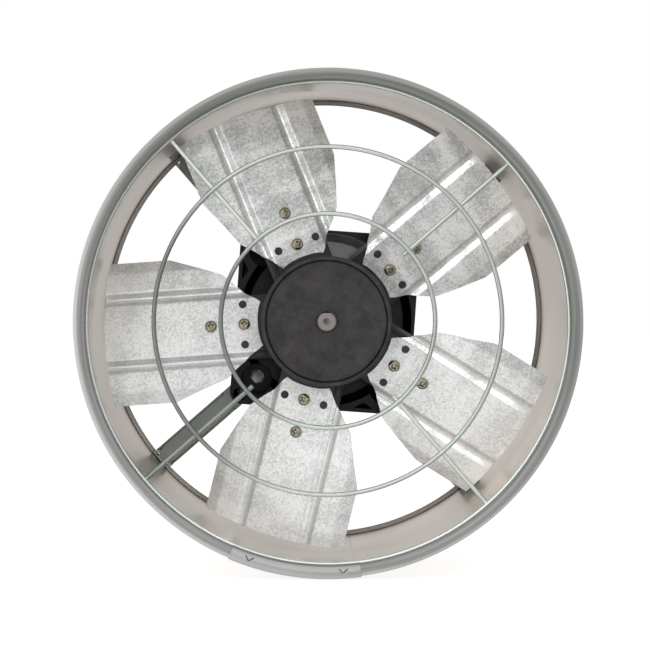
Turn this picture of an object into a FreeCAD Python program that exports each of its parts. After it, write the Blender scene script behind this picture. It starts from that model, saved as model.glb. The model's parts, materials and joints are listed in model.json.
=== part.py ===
import FreeCAD, Part
import math
import os
import re

import Sketcher
from FreeCAD import Placement, Rotation, Vector

# A ducted axial exhaust fan of the 400 mm class: five pressed sheet blades on a moulded hub,
# driven by a motor that four arms hold in a rolled sheet ring behind a wire guard.
#
# The frame: the fan's axis is Y, with +Y the way from the guard to the motor. +X is right and
# +Z is up for someone who faces the guard. The origin is on the axis, level with the back of the
# ring's rolled front bead, which is where the ring stops against a wall. Angles round the axis
# are counter-clockwise for that person, from +X. Lengths are millimetres, angles degrees.

# Each driving dimension: its alias in the sheet, its size, what it is.
DIMENSIONS = (
    ("rim_radius", 200.0, "outside of the rolled front bead"),
    ("bead_tube", 5.0, "radius of the bead's rolled tube"),
    ("duct_radius", 192.0, "inside of the duct wall"),
    ("duct_sheet", 1.2, "thickness of the duct wall"),
    ("duct_rear", 160.0, "rear face of the duct's lip"),
    ("lip_inner", 188.0, "inside of the rear lip"),
    ("lip_bend", 2.0, "outer bend radius of the rear lip"),
    ("curl_end", 106.0, "angle round the tube at which the curled edge ends"),
    ("curl_root", 112.0, "angle round the tube at which its inside meets the wall's flare"),
    ("flare_end", 0.5, "where the wall's flare into the bead ends and its straight outside starts"),
    ("strap_sheet", 0.8, "thickness of the strap over the bead's joint"),
    ("strap_end", 277.5, "angle round the fan at which the strap ends"),
    ("strap_sweep", 30.5, "angle round the fan that the strap covers"),
    ("strap_inner", 185.0, "angle round the tube at the strap's inner edge"),
    ("strap_outer", 50.0, "angle round the tube at the strap's outer edge"),
    ("gap", 0.05, "play left between pieces that touch"),
    ("press_gap", 0.02, "play left between pieces that are pressed together"),
    ("wire", 3.6, "diameter of the guard's wire"),
    ("guard_depth", -0.15, "plane of the guard's rings"),
    ("guard_rise", 1.5, "height of the guard's centre over the fan's axis"),
    ("outer_ring", 190.1, "wire centre radius of the guard's outer ring"),
    ("middle_ring", 137.0, "wire centre radius of the guard's middle ring"),
    ("inner_ring", 84.4, "wire centre radius of the guard's inner ring"),
    ("spoke_inner", 78.6, "radius at a spoke's inner end"),
    ("spoke_gap", 0.3, "play between a spoke's outer end and the duct wall"),
    ("cross_angle", 41.0, "angle of the first arm and the first spoke"),
    ("arm_width", 19.4, "width of an arm"),
    ("arm_sheet", 1.5, "thickness of an arm"),
    ("arm_front", 150.0, "front face of an arm's web"),
    ("arm_inner", 62.0, "radius at an arm's inner end"),
    ("arm_flange", 5.5, "depth of an arm's side flanges, web included"),
    ("flange_start", 112.0, "radius at which an arm's side flanges start"),
    ("flange_end", 184.0, "radius at which an arm's side flanges end"),
    ("foot_length", 33.0, "length of an arm's foot along the duct wall"),
    ("relief_radius", 1.4, "relief holes at the foot's bend"),
    ("relief_spread", 5.9, "distance of a relief hole from the arm's middle"),
    ("housing_half", 76.0, "half the side of the motor's square flanges"),
    ("housing_corner", 10.0, "corner radius of the square flanges"),
    ("housing_front", 100.0, "front face of the front shield"),
    ("bowl_radius", 73.0, "inside of the front shield's rim"),
    ("bowl_lip", 4.0, "length of the straight part of the bowl's side"),
    ("bowl_taper", 6.0, "how far the bowl's side leans in, down to the floor"),
    ("boss_taper", 2.0, "how far the front boss's side leans out, down to the floor"),
    ("bowl_floor", 115.0, "front of the front shield's floor"),
    ("floor_sheet", 4.0, "thickness of the front shield's floor"),
    ("boss_radius", 26.0, "outside of the bearing bosses"),
    ("boss_front", 102.0, "front face of the front bearing boss"),
    ("cavity_radius", 60.05, "inside of the shields round the stator"),
    ("bolt_circle", 77.0, "radius of the motor's through bolts from the axis"),
    ("pocket_radius", 13.0, "bolt pockets in the front shield"),
    ("pocket_floor", 146.0, "floor of the bolt pockets"),
    ("hollow_wall", 3.5, "wall between a corner's hollows and the square's side"),
    ("hollow_width", 5.0, "width of a corner's hollow"),
    ("hollow_start", 29.5, "distance of a hollow's near end from the side's middle"),
    ("hollow_end", 45.5, "distance of a hollow's far end from the side's middle"),
    ("screw_circle", 96.0, "radius of the corner screws from the axis"),
    ("screw_pocket", 5.5, "corner screw pockets in the front shield"),
    ("rear_flange", 4.0, "thickness of the rear shield's flange"),
    ("rear_body", 66.0, "outside of the rear shield's body"),
    ("rear_round", 5.0, "rounding of the rear shield's back edge"),
    ("back_front", 178.0, "inner face of the rear shield's back"),
    ("back_sheet", 4.0, "thickness of the rear shield's back"),
    ("boss_rear", 192.0, "rear face of the rear bearing boss"),
    ("boss_back", 3.0, "thickness of the rear boss's back"),
    ("seat_edge", 0.5, "how far a bearing's seat reaches past the bearing"),
    ("vent_radius", 2.2, "vent holes in the rear shield's back"),
    ("vent_circle", 55.0, "radius of the ring of vents"),
    ("vent_turn", 9.0, "angle of the first vent"),
    ("front_bearing", 110.0, "middle of the front bearing"),
    ("rear_bearing", 181.0, "middle of the rear bearing"),
    ("race_outer", 20.0, "outside of a bearing"),
    ("race_bore", 8.52, "bore of a bearing"),
    ("race_half", 6.0, "half the width of a bearing"),
    ("ball_circle", 14.25, "radius of the circle of balls"),
    ("ball_radius", 3.35, "radius of a ball"),
    ("groove_radius", 3.45, "radius of the races' grooves"),
    ("shoulder", 2.25, "distance of a race's shoulder from the circle of balls"),
    ("cage_half", 4.0, "half the width of a bearing's cage"),
    ("cage_sheet", 2.2, "radial thickness of a cage"),
    ("spring_width", 3.2, "radial width of the preload spring"),
    ("shaft_tip", 36.0, "front end of the shaft"),
    ("shaft_end", 188.0, "rear end of the shaft"),
    ("nose_radius", 8.0, "radius of the shaft's nose"),
    ("nose_chamfer", 0.8, "chamfer of the shaft's front end"),
    ("centre_radius", 3.1, "radius of the centre hole in the shaft's end"),
    ("centre_depth", 2.4, "depth of the centre hole"),
    ("seat_radius", 8.5, "radius of the shaft's bearing seats"),
    ("trunk_radius", 11.5, "radius of the shaft between the bearings"),
    ("nose_flat", 7.0, "distance of the nose's flat from the axis"),
    ("nose_flat_end", 98.0, "rear end of the nose's flat"),
    ("stator_radius", 60.0, "outside of the stator core"),
    ("stator_bore", 33.5, "bore of the stator core"),
    ("core_front", 131.0, "front face of the stator and rotor cores"),
    ("core_rear", 166.0, "rear face of the stator and rotor cores"),
    ("slot_inner", 37.0, "radius at a slot's inner end"),
    ("slot_outer", 50.0, "radius at a slot's outer end"),
    ("slot_half", 2.0, "half the width of a slot"),
    ("slot_mouth", 0.8, "half the width of a slot's mouth"),
    ("winding_turn", 9.0, "length of the winding beyond each end of the core"),
    ("winding_round", 3.0, "rounding of the end turns"),
    ("winding_gap", 0.3, "play between a winding's bar and its slot"),
    ("protector_sheet", 4.0, "thickness of the thermal protector"),
    ("protector_width", 7.0, "width of the thermal protector"),
    ("protector_length", 14.0, "length of the thermal protector"),
    ("rotor_radius", 33.0, "outside of the rotor core"),
    ("bar_circle", 29.0, "radius of the circle of rotor bars"),
    ("bar_radius", 2.0, "radius of a rotor bar"),
    ("end_ring", 6.0, "length of the rotor's end rings"),
    ("end_ring_inner", 21.0, "inside of the rotor's end rings"),
    ("end_ring_outer", 32.0, "outside of the rotor's end rings"),
    ("blade_angle", 40.0, "angle of the first blade"),
    ("pitch", 20.5, "pitch of the blades"),
    ("blade_axis", 74.4, "plane in which the pitch axes of the blades lie"),
    ("blade_sheet", 1.0, "thickness of a blade"),
    ("blade_stand", 4.7, "height of a blade's front face over its pitch axis"),
    ("blade_half", 62.5, "half the width of a blade"),
    ("neck_place", 65.0, "place along a blade at the end of its neck"),
    ("neck_half", 27.5, "half the width of a blade's neck"),
    ("shoulder_place", 84.0, "place along a blade at its shoulder"),
    ("shoulder_half", 45.5, "half the width of a blade's shoulder"),
    ("full_place", 127.0, "place along a blade from which it has its full width"),
    ("blade_tip", 183.7, "radius at the middle of a blade's tip"),
    ("tip_corner", 177.2, "radius at a tip corner, along the blade"),
    ("blade_root", 56.5, "radius at a blade's root"),
    ("root_half", 22.0, "half the width of a blade's root"),
    ("groove_middle", 29.3, "distance of a pressed groove from the blade's middle"),
    ("groove_half", 6.0, "half the width of a pressed groove"),
    ("groove_depth", 2.6, "depth of a pressed groove"),
    ("edge_strip", 52.0, "where a blade's edge strips start"),
    ("edge_fall", 2.2, "fall of the edge strips at the blade's edges"),
    ("hub_radius", 53.2, "outside of the hub's drum"),
    ("hub_front", 42.0, "front edge of the hub's drum"),
    ("hub_rear", 90.0, "rear edge of the hub's drum"),
    ("hub_wall", 3.5, "thickness of the hub's drum"),
    ("hub_round", 1.2, "rounding of the drum's front edge, outside"),
    ("hub_chamfer", 0.8, "chamfer of the drum's front edge, inside"),
    ("ledge_inner", 45.0, "inside of the hub's ledge for the cap"),
    ("cap_seat", 48.2, "plane of the hub's seat for the cap"),
    ("web_front", 52.0, "front face of the hub's web"),
    ("hub_web", 56.0, "rear face of the hub's web"),
    ("core_radius", 20.0, "outside of the hub's core"),
    ("core_end", 86.0, "rear end of the hub's core"),
    ("cap_sheet", 3.0, "thickness of the hub cap"),
    ("cap_round", 0.8, "rounding of the cap's edge"),
    ("cap_play", 0.3, "play round the cap"),
    ("cap_bore", 8.8, "hole in the cap for the shaft"),
    ("bushing_radius", 13.0, "outside of the hub's bushing"),
    ("bushing_end", 96.0, "rear end of the hub's bushing"),
    ("set_screw_depth", 91.0, "plane of the set screw"),
    ("set_screw", 3.0, "radius of the set screw"),
    ("set_socket", 1.6, "radius of the set screw's socket"),
    ("set_sink", 0.4, "how far the set screw is sunk in the bushing"),
    ("lug_start", 44.0, "radius at which a lug leaves the drum"),
    ("lug_end", 103.0, "radius at a lug's end"),
    ("lug_half", 23.0, "half the width of a lug's face"),
    ("lug_base", 27.0, "half the width of a lug's base"),
    ("lug_step", 3.0, "height of a lug's face over its base"),
    ("lug_back", 7.0, "depth of a lug behind its pitch axis"),
    ("lug_wall", 3.5, "thickness of a lug's walls"),
    ("peg_radius", 3.15, "radius of a lug's pegs"),
    ("peg_spread", 17.6, "distance of a peg from the lug's middle"),
    ("peg_place", 68.0, "radius from the axis at the pegs"),
    ("peg_height", 2.0, "height of a peg over the lug's face"),
    ("screw_inner", 67.7, "radius at a blade's inner screw"),
    ("screw_outer", 95.3, "radius at a blade's outer screw"),
    ("bolt_radius", 3.0, "radius of the motor's M6 through bolts"),
    ("bolt_flats", 10.0, "an M6 head or nut across its flats"),
    ("bolt_head", 4.0, "height of an M6 head"),
    ("bolt_nut", 5.0, "height of an M6 nut"),
    ("bolt_hole", 3.2, "hole for an M6 bolt"),
    ("bolt_end", 8.0, "how far a through bolt stands out behind"),
    ("washer_radius", 6.2, "outside of an M6 washer"),
    ("washer_sheet", 1.6, "thickness of an M6 washer"),
    ("screw_radius", 2.5, "radius of an M5 screw"),
    ("screw_head", 4.9, "radius of an M5 pan head"),
    ("screw_height", 3.2, "height of an M5 pan head"),
    ("screw_flats", 8.0, "an M5 nut across its flats"),
    ("screw_nut", 4.0, "height of an M5 nut"),
    ("screw_hole", 2.7, "hole for an M5 screw"),
    ("screw_end", 6.0, "how far an M5 screw stands out behind"),
    ("clamp_screw", 2.0, "radius of the clamp's M4 screw"),
    ("clamp_head", 3.6, "radius of the clamp screw's head"),
    ("clamp_height", 2.6, "height of the clamp screw's head"),
    ("capacitor_radius", 12.0, "radius of the capacitor"),
    ("capacitor_half", 27.0, "half the length of the capacitor"),
    ("capacitor_drop", 40.5, "distance of the capacitor below the axis"),
    ("capacitor_depth", 194.1, "plane of the capacitor's axis"),
    ("tab_place", 4.4, "distance of a terminal from the capacitor's axis"),
    ("tab_sheet", 0.8, "thickness of a terminal"),
    ("tab_width", 6.4, "width of a terminal"),
    ("tab_length", 8.0, "length of a terminal"),
    ("clamp_sheet", 1.0, "thickness of the capacitor's clamp"),
    ("clamp_foot", 21.0, "distance of a clamp foot's end from the clamp's middle"),
    ("clamp_hole", 17.0, "distance of the clamp's screw from the clamp's middle"),
    ("clamp_half", 6.0, "half the width of the clamp"),
    ("gland_place", 46.0, "radius of the cable gland from the axis"),
    ("gland_hexagon", 9.0, "radius of the gland's hexagon at its corners"),
    ("gland_flange", 5.0, "length of the gland's hexagon"),
    ("gland_dome", 6.4, "radius of the gland's rear end"),
    ("gland_length", 7.5, "length of the gland behind the motor"),
    ("gland_spigot", 5.9, "radius of the gland in the motor's back"),
    ("cable_radius", 3.4, "radius of the cable"),
    ("cable_top", 199.0, "rearmost plane of the cable's middle"),
    ("cable_run", 155.1, "plane in which the cable runs along its arm"),
    ("cable_end", 174.0, "radius at the end of the cable's jacket"),
    ("cable_turn", 9.0, "radius of the cable's turn out of the gland"),
    ("cable_crest", 7.0, "length of the cable's straight crest"),
    ("cable_bend", 25.0, "radius of the cable's bends over the motor's corner"),
    ("cable_slope", 35.0, "slope of the cable over the motor's corner"),
    ("core_wire", 1.1, "radius of one of the cable's cores"),
    ("core_spread", 1.4, "distance of a core from the cable's middle"),
    ("core_length", 11.0, "length of the cores beyond the jacket"),
    ("tie_sheet", 1.0, "thickness of a cable tie"),
    ("tie_width", 3.6, "width of a cable tie"),
    ("tie_head", 4.5, "size of a cable tie's head"),
    ("tie_inner", 147.0, "radius from the axis at the inner tie"),
    ("tie_outer", 167.0, "radius from the axis at the outer tie"),
)
ALIASES = {alias for alias, _, _ in DIMENSIONS}

BLADES = 5
ARMS = 4
BALLS = 8
SLOTS = 24
VENTS = 20

# Where the two screws of a blade and the two pegs of a lug stand.
BLADE_SCREWS = ("screw_inner", "screw_outer")
PEG_SIDES = ("peg_spread", "-peg_spread")

# A pan head's rounding and recess, as shares of its height, radius, radius and height.
PAN_ROUND = 0.7
CROSS_LENGTH = 0.55
CROSS_WIDTH = 0.12
CROSS_DEPTH = 0.6

doc = FreeCAD.newDocument("ExhaustFan")
sheet = doc.addObject("Spreadsheet::Sheet", "dims")
for row, (alias, number, meaning) in enumerate(DIMENSIONS, start=1):
    sheet.set(f"A{row}", meaning)
    sheet.set(f"B{row}", str(number))
    sheet.setAlias(f"B{row}", alias)
doc.recompute()

nodes = {}


# Sizes and places


def formula(text):
    """The expression's text with each alias read from the sheet, as in dims.rim_radius."""
    return re.sub(r"[a-z]\w*", lambda word: ("dims." if word[0] in ALIASES else "") + word[0], text)


def size(text):
    """What an expression over the sheet's aliases comes to."""
    result = sheet.evalExpression(formula(text))
    return float(getattr(result, "Value", result))


def bind(thing, sizes):
    """Ties properties of an object to expressions over the sheet's aliases."""
    for name, text in sizes.items():
        thing.setExpression(name, formula(text))


def about_axis(angle):
    """The turn round the fan's axis that brings +X to this angle."""
    return Rotation(Vector(0, 1, 0), -angle)


def place_about_axis(angle):
    return Placement(Vector(0, 0, 0), about_axis(angle))


def housing_place():
    """Where the motor stands: its square corners are turned onto the arms."""
    return place_about_axis(size("cross_angle - 45"))


def cross_angle(index):
    return size("cross_angle") + 360 / ARMS * index


def blade_place(index):
    """The blade frame: +X along the blade, +Z across it, -Y out of its front face."""
    turn = about_axis(size("blade_angle") + 360 / BLADES * index)
    pitched = Rotation(Vector(1, 0, 0), size("pitch"))
    return Placement(Vector(0, size("blade_axis"), 0), turn.multiply(pitched))


# Pieces built from sketches


def new_body(label, place=None):
    body = doc.addObject("PartDesign::Body", label)
    body.Label = label
    body.Placement = place or Placement()
    nodes[label] = body
    return body


def origin_feature(body, role):
    return next(feature for feature in body.Origin.OriginFeatures if feature.Role == role)


def fix_point(sketch, geometry, point, x_text, y_text):
    """Holds a point of a sketch at a place that expressions give."""
    for kind, text in (("DistanceX", x_text), ("DistanceY", y_text)):
        index = sketch.addConstraint(Sketcher.Constraint(kind, -1, 1, geometry, point, size(text)))
        sketch.setExpression(f"Constraints[{index}]", formula(text))


def fix_radius(sketch, geometry, text):
    index = sketch.addConstraint(Sketcher.Constraint("Radius", geometry, size(text)))
    sketch.setExpression(f"Constraints[{index}]", formula(text))


def arc_between(start, end, radius, left):
    """The arc of under half a turn from start to end that turns left or right."""
    chord = end - start
    middle = start + chord * 0.5
    rise = math.sqrt(radius**2 - (chord.Length / 2) ** 2)
    side = Vector(-chord.y, chord.x, 0).normalize() * (rise if left else -rise)
    centre = middle + side
    first, last = (start, end) if left else (end, start)
    angles = [math.atan2(point.y - centre.y, point.x - centre.x) for point in (first, last)]
    return Part.ArcOfCircle(Part.Circle(centre, Vector(0, 0, 1), radius), *angles)


def draw_outline(sketch, outline):
    """Draws one closed outline. A corner is (x, y), and a third item makes an arc of that radius
    lead from it to the next corner: ("left", radius) or ("right", radius)."""
    first = sketch.GeometryCount
    points = [Vector(size(corner[0]), size(corner[1]), 0) for corner in outline]
    ends = []
    for index, corner in enumerate(outline):
        start, end = points[index], points[(index + 1) % len(points)]
        if len(corner) == 2:
            geometry = sketch.addGeometry(Part.LineSegment(start, end))
            ends.append((1, 2))
        else:
            side, radius = corner[2]
            left = side == "left"
            geometry = sketch.addGeometry(arc_between(start, end, size(radius), left))
            fix_radius(sketch, geometry, radius)
            ends.append((1, 2) if left else (2, 1))
        fix_point(sketch, geometry, ends[-1][0], corner[0], corner[1])
    for index in range(len(outline)):
        following = (index + 1) % len(outline)
        join = (first + index, ends[index][1], first + following, ends[following][0])
        sketch.addConstraint(Sketcher.Constraint("Coincident", *join))


def draw_circle(sketch, x_text, y_text, radius):
    centre = Vector(size(x_text), size(y_text), 0)
    geometry = sketch.addGeometry(Part.Circle(centre, Vector(0, 0, 1), size(radius)))
    fix_point(sketch, geometry, 3, x_text, y_text)
    fix_radius(sketch, geometry, radius)


def new_sketch(body, role, outlines=(), circles=(), offset=None, turn=None):
    """A sketch on one of the body's origin planes, moved by offset and turned in that plane's frame."""
    sketch = body.newObject("Sketcher::SketchObject", "Outline")
    sketch.AttachmentSupport = [(origin_feature(body, role), "")]
    sketch.MapMode = "FlatFace"
    if turn:
        sketch.AttachmentOffset = Placement(Vector(0, 0, 0), turn)
    bind(sketch, {f"AttachmentOffset.Base.{axis}": text for axis, text in (offset or {}).items()})
    for outline in outlines:
        draw_outline(sketch, outline)
    for circle in circles:
        draw_circle(sketch, *circle)
    return sketch


def turned(body, *outlines, kind="Revolution", sweep="360"):
    """Turns outlines of (radius, depth) corners about the fan's axis, to add or to cut."""
    sketch = new_sketch(body, "XY_Plane", outlines)
    feature = body.newObject(f"PartDesign::{kind}", kind)
    feature.Profile = sketch
    feature.ReferenceAxis = (sketch, ["V_Axis"])
    bind(feature, {"Angle": sweep})
    return feature


def extrude(body, kind, sketch, length, forward):
    """Pads or pockets a sketch by a length, along its normal if forward."""
    feature = body.newObject(f"PartDesign::{kind}", kind)
    feature.Profile = sketch
    feature.Reversed = forward if kind == "Pocket" else not forward
    bind(feature, {"Length": length})
    return feature


def across_axis(body, kind, start, end, outlines=(), circles=()):
    """Pads or pockets outlines of (x, z) corners between two depths along the fan's axis."""
    sketch = new_sketch(body, "XZ_Plane", outlines, circles, {"z": f"-({start})"})
    return extrude(body, kind, sketch, f"{end} - ({start})", forward=False)


def repeat_about_axis(body, features, count):
    pattern = body.newObject("PartDesign::PolarPattern", "Pattern")
    pattern.Originals = features
    pattern.Axis = (origin_feature(body, "Y_Axis"), [""])
    pattern.Angle = 360
    pattern.Occurrences = count
    body.Tip = pattern
    return pattern


def rectangle(x_low, x_high, y_low, y_high):
    return [(x_low, y_low), (x_high, y_low), (x_high, y_high), (x_low, y_high)]


def ring_section(inner, outer, low, high):
    """The section of a plain ring, from one depth to another."""
    return rectangle(inner, outer, low, high)


def rounded_square(half, corner):
    flat = f"({half} - {corner})"
    arc = ("left", corner)
    return [
        (half, f"-{flat}"),
        (half, flat, arc),
        (flat, half),
        (f"-{flat}", half, arc),
        (f"-{half}", flat),
        (f"-{half}", f"-{flat}", arc),
        (f"-{flat}", f"-{half}"),
        (flat, f"-{half}", arc),
    ]


def on_corner(radius):
    """The x or z of a place at a radius from the axis on the diagonal of the motor's square."""
    return f"{radius} * cos(45)"


def at_corners(radius, hole):
    """One circle at each corner of the motor's square."""
    near = on_corner(radius)
    return [(x, z, hole) for x in (near, f"-{near}") for z in (near, f"-{near}")]


# Pieces that are groups of solids, or whose form no sketch gives


def add_shape(label, shape, place=None):
    feature = doc.addObject("Part::Feature", label)
    feature.Label = label
    feature.Shape = shape
    feature.Placement = place or Placement()
    nodes[label] = feature
    return feature


def rod(radius, start, end):
    """A solid cylinder along the axis, between two depths."""
    return Part.makeCylinder(radius, end - start, Vector(0, start, 0), Vector(0, 1, 0))


def hexagon(across_flats, start, end):
    radius = across_flats / math.sqrt(3)
    corners = [about_axis(angle).multVec(Vector(radius, start, 0)) for angle in range(30, 420, 60)]
    return Part.Face(Part.makePolygon(corners)).extrude(Vector(0, end - start, 0))


def washer(inner, outer, start, end):
    return rod(outer, start, end).cut(rod(inner, start, end))


def nut(across_flats, bore, start, end):
    return hexagon(across_flats, start, end).cut(rod(bore, start, end))


def rounded_rod(radius, start, end, rounding):
    """A rod whose front edge is rounded."""
    solid = rod(radius, start, end)
    front = [edge for edge in solid.Edges if abs(edge.BoundBox.YMax - start) < rounding / 10]
    return solid.makeFillet(rounding, front)


def pan_screw(radius, head_radius, head_height, seat, end):
    """A cross-recessed pan head screw: its head stands in front of its seat."""
    head_front = seat - head_height
    head = rounded_rod(head_radius, head_front, seat, head_height * PAN_ROUND)
    wide, narrow = head_radius * CROSS_LENGTH, head_radius * CROSS_WIDTH
    deep = head_height * CROSS_DEPTH
    for x_half, z_half in ((wide, narrow), (narrow, wide)):
        corner = Vector(-x_half, head_front, -z_half)
        head = head.cut(Part.makeBox(2 * x_half, deep, 2 * z_half, corner))
    return head.fuse(rod(radius, seat, end)).removeSplitter()


def m5_screw(seat, nut_face):
    """The pan head screw from its seat to a little behind its nut."""
    end = nut_face + size("screw_end")
    return pan_screw(size("screw_radius"), size("screw_head"), size("screw_height"), seat, end)


def m5_nut(face):
    return nut(size("screw_flats"), size("screw_radius + press_gap"), face, face + size("screw_nut"))


def bolt_nut(face):
    return nut(size("bolt_flats"), size("bolt_radius + press_gap"), face, face + size("bolt_nut"))


def hex_screw(radius, across_flats, head_height, seat, end):
    head = hexagon(across_flats, seat - head_height, seat)
    return head.fuse(rod(radius, seat, end))


def copies(shape, places):
    """One compound of separate copies of a solid."""
    moved = []
    for place in places:
        copy = shape.copy()
        copy.Placement = place.multiply(copy.Placement)
        moved.append(copy)
    return Part.makeCompound(moved)


def corner_places(radius):
    """The places of the fasteners at the motor's corners, at a radius from the axis."""
    along = Vector(radius, 0, 0)
    spots = [about_axis(cross_angle(arm)).multVec(along) for arm in range(ARMS)]
    return [Placement(spot, Rotation()) for spot in spots]


# The duct


def duct_shell():
    """One sheet: the wall, the bead curled round its front edge and the lip bent in at its rear."""
    tube = "(rim_radius - bead_tube)"
    middle = "-bead_tube"
    inside = "(bead_tube - duct_sheet)"
    outer_wall = "(duct_radius + duct_sheet)"
    wall_start = f"{middle} + sqrt(bead_tube^2 - ({tube} - duct_radius)^2)"
    outward, inward = ("left", "bead_tube"), ("right", inside)
    body = new_body("duct_shell")
    turned(
        body,
        [
            ("duct_radius", wall_start, outward),
            (tube, f"{middle} - bead_tube", outward),
            ("rim_radius", middle, outward),
            (f"{tube} + bead_tube * cos(curl_end)", f"{middle} + bead_tube * sin(curl_end)"),
            (f"{tube} + {inside} * cos(curl_end)", f"{middle} + {inside} * sin(curl_end)", inward),
            (f"{tube} + {inside}", middle, inward),
            (tube, f"{middle} - {inside}", inward),
            (f"{tube} + {inside} * cos(curl_root)", f"{middle} + {inside} * sin(curl_root)"),
            (outer_wall, "flare_end"),
            (outer_wall, "duct_rear - lip_bend", ("left", "lip_bend")),
            (f"{outer_wall} - lip_bend", "duct_rear"),
            ("lip_inner", "duct_rear"),
            ("lip_inner", "duct_rear - duct_sheet"),
            (f"{outer_wall} - lip_bend", "duct_rear - duct_sheet", ("right", "lip_bend - duct_sheet")),
            ("duct_radius", "duct_rear - lip_bend"),
        ],
    )


def rim_joint_strap():
    """The thin sleeve that is clinched over the bead where the two ends of the sheet meet."""
    tube = "(rim_radius - bead_tube)"
    inside, outside = "(bead_tube + gap)", "(bead_tube + gap + strap_sheet)"
    body = new_body("rim_joint_strap", place_about_axis(size("strap_end")))

    def on_tube(radius, angle):
        return f"{tube} + {radius} * cos({angle})", f"-bead_tube + {radius} * sin({angle})"

    over, back = ("left", outside), ("right", inside)
    turned(
        body,
        [
            (*on_tube(outside, "strap_inner"), over),
            (*on_tube(outside, "270"), over),
            (*on_tube(outside, "0"), over),
            on_tube(outside, "strap_outer"),
            (*on_tube(inside, "strap_outer"), back),
            (*on_tube(inside, "0"), back),
            (*on_tube(inside, "270"), back),
            on_tube(inside, "strap_inner"),
        ],
        sweep="strap_sweep",
    )


# The guard


def guard_ring(label, radius, rise):
    ring = doc.addObject("Part::Torus", label)
    ring.Label = label
    ring.Placement = Placement(Vector(0, 0, 0), Rotation(Vector(1, 0, 0), 90))
    bind(ring, {"Radius1": radius, "Radius2": "wire / 2"})
    bind(ring, {"Placement.Base.y": "guard_depth", "Placement.Base.z": rise})
    nodes[label] = ring


def guard_spoke(index):
    """A straight wire behind the rings, from a little inside the inner ring out to the duct wall."""
    label = f"guard_spoke_{index + 1}"
    spoke = doc.addObject("Part::Cylinder", label)
    spoke.Label = label
    turn = f"(cross_angle + 360 / {ARMS} * {index})"
    reach = f"sqrt((duct_radius - spoke_gap)^2 - (guard_rise * cos{turn})^2) - guard_rise * sin{turn}"
    bind(spoke, {"Radius": "wire / 2", "Height": f"{reach} - spoke_inner"})
    direction = about_axis(cross_angle(index)).multVec(Vector(1, 0, 0))
    start = direction * size("spoke_inner")
    base = start + Vector(0, size("guard_depth + wire + press_gap"), size("guard_rise"))
    spoke.Placement = Placement(base, Rotation(Vector(0, 0, 1), direction))
    nodes[label] = spoke


def guard():
    guard_ring("guard_outer_ring", "outer_ring", "0")
    guard_ring("guard_middle_ring", "middle_ring", "guard_rise")
    guard_ring("guard_inner_ring", "inner_ring", "guard_rise")
    for index in range(ARMS):
        guard_spoke(index)


# The arms that hold the motor


def motor_arm(index):
    """A shallow channel whose outer end turns forward into a foot that is welded to the wall."""
    body = new_body(f"motor_arm_{index + 1}", place_about_axis(cross_angle(index)))
    half = "arm_width / 2"
    reach = "(duct_radius - gap)"
    inner_face = f"({reach} - arm_sheet)"
    web_rear = "arm_front + arm_sheet"

    def edge(radius):
        return f"sqrt({radius}^2 - ({half})^2)"

    web = [
        ("arm_inner", f"-{half}"),
        (edge(reach), f"-{half}", ("left", reach)),
        (edge(reach), half),
        ("arm_inner", half),
    ]
    holes = [
        ("bolt_circle", "0", "bolt_hole"),
        ("screw_circle", "0", "screw_hole"),
        (f"{inner_face} - 2 * relief_radius", "relief_spread", "relief_radius"),
        (f"{inner_face} - 2 * relief_radius", "-relief_spread", "relief_radius"),
    ]
    across_axis(body, "Pad", "arm_front", web_rear, [web], holes)
    foot = [
        (edge(inner_face), f"-{half}"),
        (edge(reach), f"-{half}", ("left", reach)),
        (edge(reach), half),
        (edge(inner_face), half, ("right", inner_face)),
    ]
    across_axis(body, "Pad", "arm_front + arm_sheet - foot_length", web_rear, [foot])
    flanges = [
        rectangle("flange_start", "flange_end", f"{half} - arm_sheet", half),
        rectangle("flange_start", "flange_end", f"-{half}", f"arm_sheet - {half}"),
    ]
    across_axis(body, "Pad", "arm_front", "arm_front + arm_flange", flanges)


# The motor's housing


def motor_front_shield():
    """The square front casting: a bowl round the bearing boss, and a bolt pocket at each corner."""
    body = new_body("motor_front_shield", housing_place())
    floor_rear = "bowl_floor + floor_sheet"
    square = [rounded_square("housing_half", "housing_corner")]
    across_axis(body, "Pad", "housing_front", "arm_front", square)
    bowl = [
        ("0", "housing_front - 1"),
        ("bowl_radius", "housing_front - 1"),
        ("bowl_radius", "housing_front + bowl_lip"),
        ("bowl_radius - bowl_taper", "bowl_floor"),
        ("boss_radius + boss_taper", "bowl_floor"),
        ("boss_radius", "boss_front"),
        ("0", "boss_front"),
    ]
    turned(body, bowl, kind="Groove")
    seat = "race_outer + press_gap"
    inside = [
        ("0", "boss_front - 1"),
        ("bushing_radius", "boss_front - 1"),
        ("bushing_radius", "front_bearing - race_half - gap"),
        (seat, "front_bearing - race_half - gap"),
        (seat, floor_rear),
        ("cavity_radius", floor_rear),
        ("cavity_radius", "arm_front + 1"),
        ("0", "arm_front + 1"),
    ]
    turned(body, inside, kind="Groove")
    pockets = at_corners("bolt_circle", "pocket_radius") + at_corners("screw_circle", "screw_pocket")
    across_axis(body, "Pocket", "housing_front", "pocket_floor", circles=pockets)
    holes = at_corners("bolt_circle", "bolt_hole") + at_corners("screw_circle", "screw_hole")
    across_axis(body, "Pocket", "housing_front", "arm_front", circles=holes)
    hollow_side = "(housing_half - hollow_wall)"
    hollow = [
        (f"{hollow_side} - hollow_width", "(hollow_start + hollow_end) / 2"),
        (hollow_side, "hollow_start"),
        (hollow_side, "hollow_end"),
    ]
    mirrored = [(z, x) for x, z in reversed(hollow)]
    ribs = across_axis(body, "Pocket", "housing_front", "pocket_floor", [hollow, mirrored])
    repeat_about_axis(body, [ribs], ARMS)


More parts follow.
